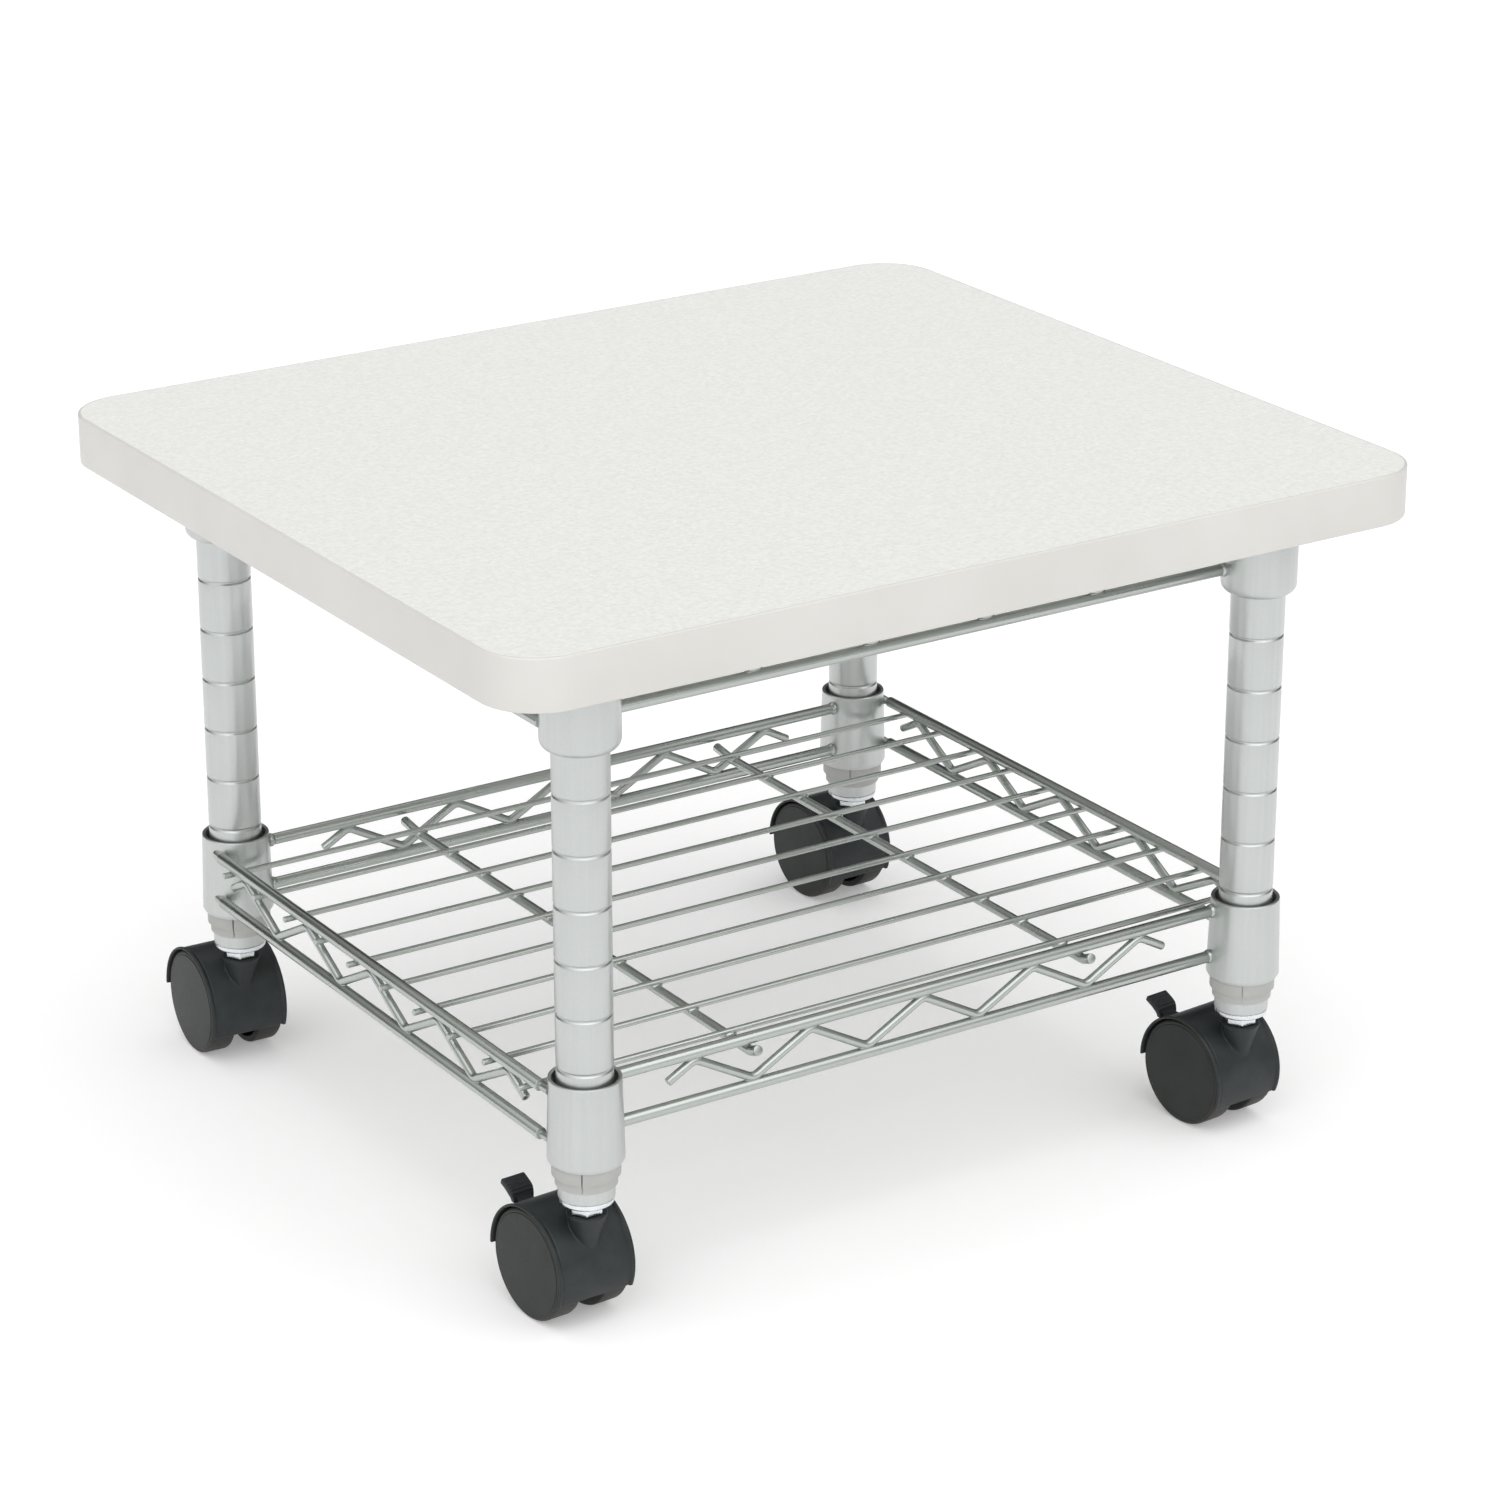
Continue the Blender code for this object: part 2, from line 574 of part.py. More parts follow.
def make_sleeve(place, x, y):
    """Two half sleeves; a rib inside each locks in one groove of the post."""
    head = COLLAR_RIM - SLEEVE_TOP_BELOW_RIM
    fit = COLLAR_WALL + CLEARANCE
    skirt_foot = COLLAR_FOOT - SLEEVE_BELOW_COLLAR
    skirt_radius = SLEEVE_BORE + SLEEVE_FOOT_WALL
    lip_radius = SLEEVE_BORE + SLEEVE_LIP_WALL
    rib_half = GROOVE_WIDTH / 4
    profile = [
        (collar_radius_at(head) - fit, head),
        (skirt_radius, COLLAR_FOOT),
        (skirt_radius, skirt_foot + skirt_radius - lip_radius),
        (lip_radius, skirt_foot),
        (lip_radius, SLEEVE_FOOT),
        (SLEEVE_BORE, SLEEVE_FOOT),
        (SLEEVE_BORE, LOWEST_GROOVE - rib_half),
        (SLEEVE_BORE - RIB_REACH, LOWEST_GROOVE),
        (SLEEVE_BORE, LOWEST_GROOVE + rib_half),
        (SLEEVE_BORE, head),
    ]
    reach = 2 * COLLAR_BASE_RADIUS
    other_half = [(-SLEEVE_SPLIT / 2, -reach), (reach, -reach),
                  (reach, reach), (-SLEEVE_SPLIT / 2, reach)]
    for half, half_turn in (("outer", 0), ("inner", math.pi)):
        sleeve = turned(f"sleeve_{place}_{half}", profile, STAND, SLEEVE_PLASTIC)
        sleeve.location = (x, y, 0)
        cutter = plate(f"half_{place}_{half}", [other_half], 2 * COLLAR_HEIGHT, CUTTERS)
        cutter.rotation_euler.z = math.radians(SLEEVE_SPLIT_TURN) + half_turn
        cut(sleeve, cutter, (x, y, (head + SLEEVE_FOOT) / 2))


# ---- The wire shelf ---------------------------------------------------------

def make_deck():
    """Wires across, welded onto two cross rods whose rear ends climb to the rear rail."""
    rod_x = 1.5 * snake_wave(END_SNAKE_SPAN)
    tail_z = SHELF_TOP_RAIL - RAIL_RADIUS - CROSS_ROD_RADIUS - CLEARANCE
    tail_y = END_RAIL_Y - ROD_REAR_GAP
    nose_y = END_RAIL_Y + RAIL_RADIUS + ROD_NOSE
    pieces = []
    for side, x in (("left", -rod_x), ("right", rod_x)):
        path = rounded_path([
            (x, -nose_y, CROSS_ROD_Z),
            (x, tail_y - ROD_RISE_LENGTH, CROSS_ROD_Z),
            (x, tail_y, tail_z),
        ], ROD_BEND_RADIUS)
        pieces.append(wire(f"cross_rod_{side}", path, CROSS_ROD_RADIUS, STAND, SILVER_PAINT))
    half_length = SIDE_RAIL_X + RAIL_RADIUS + DECK_WIRE_OVERHANG
    for number in range(DECK_WIRE_COUNT):
        y = (number - (DECK_WIRE_COUNT - 1) / 2) * DECK_WIRE_PITCH
        ends = [(-half_length, y, DECK_WIRE_Z), (half_length, y, DECK_WIRE_Z)]
        pieces.append(wire(f"deck_wire_{number}", ends, DECK_WIRE_RADIUS, STAND, SILVER_PAINT))
    weld_together("shelf_deck", pieces)


def make_shelf():
    for end, sy in (("front", -1), ("rear", 1)):
        truss(f"shelf_{end}_side", end_rail_half_length(COLLAR_BASE_RADIUS), END_SNAKE_SPAN,
              SHELF_TOP_RAIL, RAIL_SPACING, along_x(sy * END_RAIL_Y))
    for side, sx in (("left", -1), ("right", 1)):
        truss(f"shelf_{side}_side", side_rail_half_length(COLLAR_BASE_RADIUS), SIDE_SNAKE_SPAN,
              SHELF_TOP_RAIL, RAIL_SPACING, along_y(sx * SIDE_RAIL_X))
    make_deck()


# ---- Casters -----------------------------------------------------------------

def ring_sector(inner, outer, start, end, steps):
    return arc((0, 0), outer, start, end, steps) + arc((0, 0), inner, end, start, steps)


def make_wheel(name, side, hub):
    face = WHEEL_OUTER_FACE
    rim_foot = WHEEL_INNER_FACE
    disc_foot = face - WHEEL_DISC_WALL
    bore = AXLE_RADIUS + CLEARANCE
    bore_end = AXLE_HALF_LENGTH + CLEARANCE
    profile = [
        (0, face),
        (WHEEL_RADIUS - WHEEL_EDGE_ROUND, face),
        (WHEEL_RADIUS, face - WHEEL_EDGE_ROUND),
        (WHEEL_RADIUS, rim_foot),
        (WHEEL_RADIUS - WHEEL_RIM_WALL, rim_foot),
        (WHEEL_RADIUS - WHEEL_RIM_WALL, disc_foot),
        (WHEEL_HUB_RADIUS, disc_foot),
        (WHEEL_HUB_RADIUS, rim_foot),
        (bore, rim_foot),
        (bore, bore_end),
        (0, bore_end),
    ]
    wheel = turned(name, profile, STAND, BLACK_NYLON, WHEEL_SEGMENTS)
    wheel.parent = hub
    wheel.location = (0, CASTER_TRAIL, WHEEL_RADIUS)
    wheel.rotation_euler.y = side * math.pi / 2


def lever_pivot():
    """The brake lever's axis, rearward and upward of the axle."""
    angle = math.radians(LEVER_PIVOT_ANGLE)
    radius = HOOD_OUTER_RADIUS - LEVER_PIVOT_DEPTH
    return (radius * math.cos(angle), radius * math.sin(angle))


def make_hood(name, place, braked, hub):
    """Built about the axle, with the stem's boss in front of it."""
    shell_outline = ring_sector(HOOD_INNER_RADIUS, HOOD_OUTER_RADIUS,
                                HOOD_REAR_ANGLE, HOOD_FRONT_ANGLE, HOOD_STEPS)
    shell = side_plate(f"shell_{place}", [shell_outline], -HOOD_HALF_WIDTH, HOOD_HALF_WIDTH,
                       STAND, BLACK_NYLON)
    web_outline = arc((0, 0), HOOD_INNER_RADIUS + HOOD_WALL / 2,
                      HOOD_REAR_ANGLE + 1, HOOD_FRONT_ANGLE - 1, HOOD_STEPS)
    web_outline += arc((0, 0), WEB_FOOT_RADIUS, 230, 340, 6)
    axle_hole = round_hole((0, 0), AXLE_RADIUS + CLEARANCE, ROUND_SEGMENTS)
    web = side_plate(f"web_{place}", [web_outline, axle_hole], -WEB_HALF_WIDTH, WEB_HALF_WIDTH,
                     STAND, BLACK_NYLON)
    boss_top = BOSS_TOP - WHEEL_RADIUS
    boss = turned(f"boss_{place}", [
        (0, boss_top), (BOSS_TOP_RADIUS, boss_top),
        (BOSS_TIP_RADIUS, boss_top - BOSS_HEIGHT), (0, boss_top - BOSS_HEIGHT),
    ], STAND, BLACK_NYLON)
    boss.location.y = -CASTER_TRAIL
    wheel_rooms = []
    for side, low in (("left", -HOOD_HALF_WIDTH * 2), ("right", WEB_HALF_WIDTH)):
        high = low + HOOD_HALF_WIDTH * 2 - WEB_HALF_WIDTH
        room_outline = round_hole((0, 0), HOOD_INNER_RADIUS + HOOD_WALL / 2, 2 * HOOD_STEPS)
        room = side_plate(f"room_{place}_{side}", [room_outline], low, high, CUTTERS)
        boolean(boss, room, "DIFFERENCE")
        wheel_rooms.append(room)
    boss = as_mesh(boss)
    for room in wheel_rooms:
        bpy.data.objects.remove(room)
    body = weld_together(name, [web, shell, boss])

    socket_radius = STEM_PIN_RADIUS + CLEARANCE
    socket_foot = boss_top - STEM_PIN_LENGTH - CLEARANCE
    mouth = boss_top + STEM_HEX_HEIGHT
    cut(body, turned(f"socket_{place}", [
        (0, mouth), (socket_radius, mouth), (socket_radius, socket_foot), (0, socket_foot),
    ], CUTTERS, segments=SMALL_SEGMENTS), (0, -CASTER_TRAIL, 0))
    if braked:
        pivot = lever_pivot()
        outside = HOOD_OUTER_RADIUS + LEVER_ARM_REACH
        slot = arc(pivot, LEVER_SLOT_RADIUS, 100, 290, 8)
        slot += arc((0, 0), outside, *LEVER_SLOT_ANGLES, 1)
        half = LEVER_HUB_HALF_WIDTH + CLEARANCE
        cut(body, side_plate(f"slot_{place}", [slot], -half, half, CUTTERS), (0, 0, 0))
        hole = round_hole(pivot, LEVER_TRUNNION_RADIUS + CLEARANCE, SMALL_SEGMENTS)
        half = WHEEL_INNER_FACE
        cut(body, side_plate(f"trunnion_hole_{place}", [hole], -half, half, CUTTERS), (0, 0, 0))
    body = as_mesh(body)
    body.parent = hub
    body.location = (0, CASTER_TRAIL, WHEEL_RADIUS)


def make_lever(name, hub):
    """Origin on its pivot: a hub with trunnions, an arm through the hood and a foot tab."""
    tilt = math.radians(LEVER_TAB_TILT)
    along = Vector((math.cos(tilt), math.sin(tilt)))
    across = Vector((-along.y, along.x)) * LEVER_THICKNESS / 2
    start = Vector((LEVER_ARM_REACH, 0.0))
    end = start + along * LEVER_TAB_LENGTH
    hub_round = arc((0, 0), LEVER_HUB_RADIUS, 30, 330, 10)
    arm = hub_round + [(LEVER_ARM_REACH + LEVER_THICKNESS / 2, -LEVER_THICKNESS / 2),
                       (LEVER_ARM_REACH + LEVER_THICKNESS / 2, LEVER_THICKNESS / 2)]
    tab = [tuple(start - across), tuple(end - across), tuple(end + across), tuple(start + across)]
    trunnion = round_hole((0, 0), LEVER_TRUNNION_RADIUS, SMALL_SEGMENTS)
    pieces = [
        side_plate(f"{name}_arm", [arm], -LEVER_HUB_HALF_WIDTH, LEVER_HUB_HALF_WIDTH,
                   STAND, BLACK_NYLON),
        side_plate(f"{name}_tab", [tab], -LEVER_TAB_HALF_WIDTH, LEVER_TAB_HALF_WIDTH,
                   STAND, BLACK_NYLON),
        side_plate(f"{name}_trunnions", [trunnion], -WEB_HALF_WIDTH, WEB_HALF_WIDTH,
                   STAND, BLACK_NYLON),
    ]
    lever = weld_together(name, pieces)
    pivot = lever_pivot()
    lever.parent = hub
    lever.location = (0, CASTER_TRAIL + pivot[0], WHEEL_RADIUS + pivot[1])


def make_stem(name, x, y):
    """Thread up into the insert, a hexagon to turn it by, and a pin down into the hood."""
    thread_top = STEM_HEX_FOOT + STEM_HEX_HEIGHT + STEM_THREAD_LENGTH
    hex_top = STEM_HEX_FOOT + STEM_HEX_HEIGHT
    pin = turned(name, [
        (0, thread_top), (STEM_THREAD_RADIUS, thread_top),
        (STEM_THREAD_RADIUS, hex_top - WELD_SINK), (STEM_PIN_RADIUS, hex_top - 2 * WELD_SINK),
        (STEM_PIN_RADIUS, BOSS_TOP - STEM_PIN_LENGTH), (0, BOSS_TOP - STEM_PIN_LENGTH),
    ], STAND, ZINC)
    corner = STEM_HEX_ACROSS_FLATS / math.sqrt(3)
    hexagon = plate(f"{name}_hex", [round_hole((0, 0), corner, 6)], STEM_HEX_HEIGHT, STAND, ZINC)
    hexagon.location.z = STEM_HEX_FOOT + STEM_HEX_HEIGHT / 2
    stem = weld_together(name, [pin, hexagon])
    stem.location = (x, y, 0)


def make_insert(name, x, y):
    """A flanged, threaded plug pressed into the post's lower end."""
    flange_top = POST_FOOT - CLEARANCE
    plug_radius = POST_RADIUS - POST_WALL - CLEARANCE
    bore = STEM_THREAD_RADIUS + CLEARANCE
    plug_top = POST_FOOT + INSERT_PLUG_LENGTH
    flange_radius = POST_RADIUS - CLEARANCE
    insert = turned(name, [
        (plug_radius, plug_top), (plug_radius, flange_top), (flange_radius, flange_top),
        (flange_radius, flange_top - INSERT_FLANGE_HEIGHT / 2),
        (flange_radius - INSERT_FLANGE_HEIGHT / 2, INSERT_FLANGE_FOOT),
        (bore, INSERT_FLANGE_FOOT), (bore, plug_top),
    ], STAND, ZINC)
    insert.location = (x, y, 0)


def make_caster(place, x, y, turn, braked):
    hub = bpy.data.objects.new(f"swivel_{place}", None)
    STAND.objects.link(hub)
    hub.location = (x, y, 0)
    hub.rotation_euler.z = math.radians(turn)
    make_hood(f"caster_hood_{place}", place, braked, hub)
    for side_name, side in (("left", -1), ("right", 1)):
        make_wheel(f"caster_wheel_{place}_{side_name}", side, hub)
    axle = turned(f"caster_axle_{place}", [
        (0, AXLE_HALF_LENGTH), (AXLE_RADIUS, AXLE_HALF_LENGTH),
        (AXLE_RADIUS, -AXLE_HALF_LENGTH), (0, -AXLE_HALF_LENGTH),
    ], STAND, STEEL)
    axle.parent = hub
    axle.location = (0, CASTER_TRAIL, WHEEL_RADIUS)
    axle.rotation_euler.y = math.pi / 2
    if braked:
        make_lever(f"brake_lever_{place}", hub)


# ---- Put the stand together --------------------------------------------------

make_top()
make_screws()
make_head_frame()
make_shelf()
for place, (sx, sy, turn, braked) in CASTERS.items():
    x = sx * POST_X
    y = sy * POST_Y
    make_post(f"post_{place}", x, y)
    make_sleeve(place, x, y)
    make_collar(f"shelf_collar_{place}", x, y)
    make_insert(f"post_insert_{place}", x, y)
    make_stem(f"caster_stem_{place}", x, y)
    make_caster(place, x, y, turn, braked)
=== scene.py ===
"""The looks of a mobile printer stand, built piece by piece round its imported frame."""

import json
import math

import bmesh
import bpy
from mathutils import Matrix, Vector


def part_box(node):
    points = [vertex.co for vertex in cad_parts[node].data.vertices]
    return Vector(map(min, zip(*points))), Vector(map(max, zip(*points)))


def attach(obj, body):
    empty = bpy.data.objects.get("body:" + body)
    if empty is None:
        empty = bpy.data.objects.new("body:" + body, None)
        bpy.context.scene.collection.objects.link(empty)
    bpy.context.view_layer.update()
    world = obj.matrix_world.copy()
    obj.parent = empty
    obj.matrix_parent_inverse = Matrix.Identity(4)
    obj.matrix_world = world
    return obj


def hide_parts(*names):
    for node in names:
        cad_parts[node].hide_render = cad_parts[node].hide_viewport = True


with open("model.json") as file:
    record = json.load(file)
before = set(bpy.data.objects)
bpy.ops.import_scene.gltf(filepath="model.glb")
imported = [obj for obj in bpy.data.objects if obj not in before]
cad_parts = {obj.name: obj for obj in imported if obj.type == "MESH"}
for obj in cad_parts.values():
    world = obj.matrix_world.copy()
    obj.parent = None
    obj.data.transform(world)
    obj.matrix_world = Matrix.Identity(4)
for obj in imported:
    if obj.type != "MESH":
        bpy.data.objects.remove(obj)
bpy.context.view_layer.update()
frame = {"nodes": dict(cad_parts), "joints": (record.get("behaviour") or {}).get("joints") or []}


# ---- The laminate sheet --------------------------------------------------------------
# A sheet of off-white high-pressure laminate with a fine pebbled face, glued to
# the board and trimmed flush inside the edge band.

LAMINATE_THICKNESS = 0.0010
BAND_THICKNESS = 0.0012
GLUE_LINE = 0.00005
CORNER_RADIUS = 0.0280
CORNER_STEPS = 24


def new_finish(name, roughness, metallic=0.0):
    """A material with its node tree, and an Object coordinate to build on."""
    finish = bpy.data.materials.new(name)
    finish.use_nodes = True
    tree = finish.node_tree
    shader = tree.nodes["Principled BSDF"]
    shader.inputs["Roughness"].default_value = roughness
    shader.inputs["Metallic"].default_value = metallic
    place = tree.nodes.new("ShaderNodeTexCoord").outputs["Object"]
    return finish, tree, shader, place


def noise(tree, place, scale, detail=2.0, roughness=0.5):
    """A noise value, 0 to 1, with scale waves a metre."""
    node = tree.nodes.new("ShaderNodeTexNoise")
    node.inputs["Scale"].default_value = scale
    node.inputs["Detail"].default_value = detail
    node.inputs["Roughness"].default_value = roughness
    tree.links.new(place, node.inputs["Vector"])
    return node.outputs["Fac"]


def cells(tree, place, scale, smoothness=0.6):
    """The distance to the nearest of scale soft cells a metre."""
    node = tree.nodes.new("ShaderNodeTexVoronoi")
    node.feature = "SMOOTH_F1"
    node.inputs["Scale"].default_value = scale
    node.inputs["Smoothness"].default_value = smoothness
    tree.links.new(place, node.inputs["Vector"])
    return node.outputs["Distance"]


def spread(tree, value, low, high, to_low, to_high):
    """Maps value from low..high to to_low..to_high, held at both ends."""
    node = tree.nodes.new("ShaderNodeMapRange")
    for socket, number in zip(("From Min", "From Max", "To Min", "To Max"),
                              (low, high, to_low, to_high)):
        node.inputs[socket].default_value = number
    tree.links.new(value, node.inputs["Value"])
    return node.outputs["Result"]


def two_tone(tree, shader, value, dark, light):
    """Base colour that drifts between two tones."""
    node = tree.nodes.new("ShaderNodeMix")
    node.data_type = "RGBA"
    node.inputs["A"].default_value = (*dark, 1.0)
    node.inputs["B"].default_value = (*light, 1.0)
    tree.links.new(value, node.inputs["Factor"])
    tree.links.new(node.outputs["Result"], shader.inputs["Base Color"])


def raise_bump(tree, shader, height, strength, depth):
    """Adds a bump of that depth in metres on top of any bump already there."""
    node = tree.nodes.new("ShaderNodeBump")
    node.inputs["Strength"].default_value = strength
    node.inputs["Distance"].default_value = depth
    tree.links.new(height, node.inputs["Height"])
    if shader.inputs["Normal"].is_linked:
        tree.links.new(shader.inputs["Normal"].links[0].from_socket, node.inputs["Normal"])
    tree.links.new(node.outputs["Normal"], shader.inputs["Normal"])


def pebbled_laminate():
    finish, tree, shader, place = new_finish("pebbled_laminate", 0.5)
    pebbles = cells(tree, place, 620)
    grain = noise(tree, place, 1500, 3)
    mottle = noise(tree, place, 420, 4, 0.7)
    two_tone(tree, shader, spread(tree, mottle, 0.35, 0.65, 0, 1),
             (0.745, 0.75, 0.715), (0.835, 0.84, 0.805))
    tree.links.new(spread(tree, grain, 0.3, 0.7, 0.42, 0.6), shader.inputs["Roughness"])
    raise_bump(tree, shader, pebbles, 0.55, 0.00028)
    raise_bump(tree, shader, grain, 0.25, 0.00006)
    return finish


def finished(name, shape, finish, body, stands_for=(), crease=40):
    """Makes a piece of a bmesh: it rides on its body and may stand for frame nodes."""
    mesh = bpy.data.meshes.new(name)
    shape.to_mesh(mesh)
    shape.free()
    for each in finish if isinstance(finish, tuple) else (finish,):
        mesh.materials.append(each)
    mesh.shade_smooth()
    mesh.set_sharp_from_angle(angle=math.radians(crease))
    piece = bpy.data.objects.new(name, mesh)
    bpy.context.scene.collection.objects.link(piece)
    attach(piece, body)
    if stands_for:
        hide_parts(*stands_for)
    return piece


def round_cornered(low, high, radius):
    """A flat face from low to high in XY, at low's height, with rounded corners."""
    shape = bmesh.new()
    bmesh.ops.create_grid(shape, x_segments=1, y_segments=1, size=0.5)
    bmesh.ops.scale(shape, vec=(high.x - low.x, high.y - low.y, 1), verts=shape.verts)
    bmesh.ops.translate(shape, vec=((low.x + high.x) / 2, (low.y + high.y) / 2, low.z),
                        verts=shape.verts)
    bmesh.ops.bevel(shape, geom=shape.verts[:], affect="VERTICES", offset=radius,
                    segments=CORNER_STEPS, profile=0.5, material=-1)
    return shape


def thicken_up(shape, height):
    """Draws the flat faces up to a closed slab."""
    drawn = bmesh.ops.extrude_face_region(shape, geom=shape.faces[:])
    top = [part for part in drawn["geom"] if isinstance(part, bmesh.types.BMVert)]
    bmesh.ops.translate(shape, vec=(0, 0, height), verts=top)
    bmesh.ops.recalc_face_normals(shape, faces=shape.faces)


def ease_edges(shape, width, steps=2, sharper_than=50, only=None):
    """Rounds every edge that is sharper than an angle, where only(edge) allows it."""
    limit = math.radians(sharper_than)
    sharp = [edge for edge in shape.edges
             if len(edge.link_faces) == 2 and edge.calc_face_angle(0) > limit
             and (only is None or only(edge))]
    bmesh.ops.bevel(shape, geom=sharp, affect="EDGES", offset=width, segments=steps,
                    profile=0.5, material=-1, clamp_overlap=True)


top_low, top_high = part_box("edge_band")
inset = Vector((BAND_THICKNESS + GLUE_LINE, BAND_THICKNESS + GLUE_LINE, 0))
sheet_low = Vector((top_low.x, top_low.y, top_high.z - LAMINATE_THICKNESS)) + inset
sheet = round_cornered(sheet_low, top_high - inset, CORNER_RADIUS - inset.x)
thicken_up(sheet, LAMINATE_THICKNESS)
finished("laminate_sheet", sheet, pebbled_laminate(), "stand", ["top_laminate"])


# ---- The edge band -------------------------------------------------------------------
# A smooth PVC band in a warm grey-white, glued round the board's edge in one
# length and scraped to a small radius above and below.

BAND_ARRIS = 0.0009


def scraped_band():
    finish, tree, shader, place = new_finish("edge_band_pvc", 0.38)
    drift = noise(tree, place, 22, 2)
    two_tone(tree, shader, spread(tree, drift, 0.3, 0.7, 0, 1),
             (0.615, 0.605, 0.575), (0.65, 0.64, 0.61))
    scrape = noise(tree, place, 900, 3)
    tree.links.new(spread(tree, scrape, 0.3, 0.7, 0.33, 0.44), shader.inputs["Roughness"])
    raise_bump(tree, shader, scrape, 0.08, 0.00005)
    return finish


band = round_cornered(top_low, top_high, CORNER_RADIUS)
bmesh.ops.inset_region(band, faces=band.faces[:], thickness=BAND_THICKNESS,
                       use_even_offset=True, use_boundary=True)
middle = max(band.faces, key=lambda face: face.calc_area())
bmesh.ops.delete(band, geom=[middle], context="FACES_ONLY")
thicken_up(band, top_high.z - top_low.z)


def on_outer_wall(edge):
    """True for the outer rims, which bound one face that looks sideways and out."""
    return any(abs(face.normal.z) < 0.5 and face.normal.dot(face.calc_center_median()) > 0
               for face in edge.link_faces) and abs(edge.verts[0].co.z - edge.verts[1].co.z) < 1e-6


ease_edges(band, BAND_ARRIS, 4, 60, on_outer_wall)
finished("edge_banding", band, scraped_band(), "stand", ["edge_band"])


# ---- The board -----------------------------------------------------------------------
# Pressed fibreboard that carries the laminate. The band and the laminate cover it
# but for its underside, which has a pale backing paper.


def fibreboard():
    finish, tree, shader, place = new_finish("fibreboard", 0.85)
    fibres = tree.nodes.new("ShaderNodeMapping")
    fibres.inputs["Scale"].default_value = (260, 900, 400)
    tree.links.new(place, fibres.inputs["Vector"])
    strands = noise(tree, fibres.outputs["Vector"], 1.0, 6, 0.65)
    two_tone(tree, shader, spread(tree, strands, 0.3, 0.7, 0, 1),
             (0.44, 0.435, 0.41), (0.62, 0.61, 0.585))
    raise_bump(tree, shader, strands, 0.35, 0.0002)
    return finish


frame["nodes"]["top_board"].data.materials[0] = fibreboard()


# ---- The board's screws --------------------------------------------------------------
# Four zinc-plated pan-head screws with a cross recess, driven up through the
# tabs of the head frame.

HEAD_RADIUS = 0.0042
HEAD_HEIGHT = 0.0026
SHANK_RADIUS = 0.0018
RECESS_LENGTH = 0.0046
RECESS_WIDTH = 0.0009
RECESS_DEPTH = 0.0013
PAN_SHARE = 0.7


def bright_zinc():
    finish, tree, shader, place = new_finish("bright_zinc", 0.25, 1.0)
    bloom = noise(tree, place, 350, 4)
    two_tone(tree, shader, spread(tree, bloom, 0.3, 0.7, 0, 1),
             (0.72, 0.75, 0.77), (0.80, 0.83, 0.85))
    tree.links.new(spread(tree, bloom, 0.3, 0.7, 0.2, 0.36), shader.inputs["Roughness"])
    raise_bump(tree, shader, noise(tree, place, 2500, 2), 0.05, 0.00001)
    return finish


def middle_of(node):
    """The middle of a frame node's box."""
    low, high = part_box(node)
    return (low + high) / 2


def spun(shape, profile, centre, steps, axis=(0, 0, 1), out=(1, 0, 0), sweep=math.tau):
    """Spins a profile of (radius, rise) points round an axis; it closes unless it ends there."""
    centre, axis, out = Vector(centre), Vector(axis), Vector(out)
    points = [shape.verts.new(centre + out * radius + axis * rise) for radius, rise in profile]
    lines = [shape.edges.new(pair) for pair in zip(points, points[1:])]
    if profile[0][0] > 0:
        lines.append(shape.edges.new((points[-1], points[0])))
    whole = sweep > math.tau - 0.001
    made = bmesh.ops.spin(shape, geom=points + lines, cent=centre, axis=axis, angle=sweep,
                          steps=steps, use_merge=whole)
    if not whole:
        last = [part for part in made["geom_last"] if isinstance(part, bmesh.types.BMEdge)]
        for end in (lines, last):
            bmesh.ops.contextual_create(shape, geom=end)


def close_up(shape):
    """Merges doubled points and turns every face outward."""
    bmesh.ops.remove_doubles(shape, verts=shape.verts, dist=0.000002)
    bmesh.ops.recalc_face_normals(shape, faces=shape.faces)


def dome(radius, height, steps):
    """Points (radius, rise) over a shallow dome, from its rim to its pole."""
    return [(radius * math.cos(math.pi / 2 * step / steps),
             height * math.sin(math.pi / 2 * step / steps)) for step in range(steps)] + [(0, height)]


def box_cutter(size, centre):
    shape = bmesh.new()
    bmesh.ops.create_cube(shape, size=1.0)
    bmesh.ops.scale(shape, vec=size, verts=shape.verts)
    bmesh.ops.translate(shape, vec=centre, verts=shape.verts)
    return shape


def as_solid(name, shape):
    """A plain helper object for a Boolean or a remesh; it is removed afterwards."""
    mesh = bpy.data.meshes.new(name)
    shape.to_mesh(mesh)
    shape.free()
    solid = bpy.data.objects.new(name, mesh)
    bpy.context.scene.collection.objects.link(solid)
    return solid


def settled(solid):
    """The solid's mesh with its modifiers carried out, as a bmesh; the solid is removed."""
    bpy.context.view_layer.update()
    graph = bpy.context.evaluated_depsgraph_get()
    shape = bmesh.new()
    shape.from_mesh(solid.evaluated_get(graph).to_mesh())
    bpy.data.objects.remove(solid)
    return shape


def cut_away(shape, cutters):
    """Takes each cutter out of the shape."""
    solid = as_solid("cutting", shape)
    tools = [as_solid("cutter", cutter) for cutter in cutters]
    for tool in tools:
        cut = solid.modifiers.new("cut", "BOOLEAN")
        cut.operation = "DIFFERENCE"
        cut.solver = "EXACT"
        cut.object = tool
    shape = settled(solid)
    for tool in tools:
        bpy.data.objects.remove(tool)
    return shape


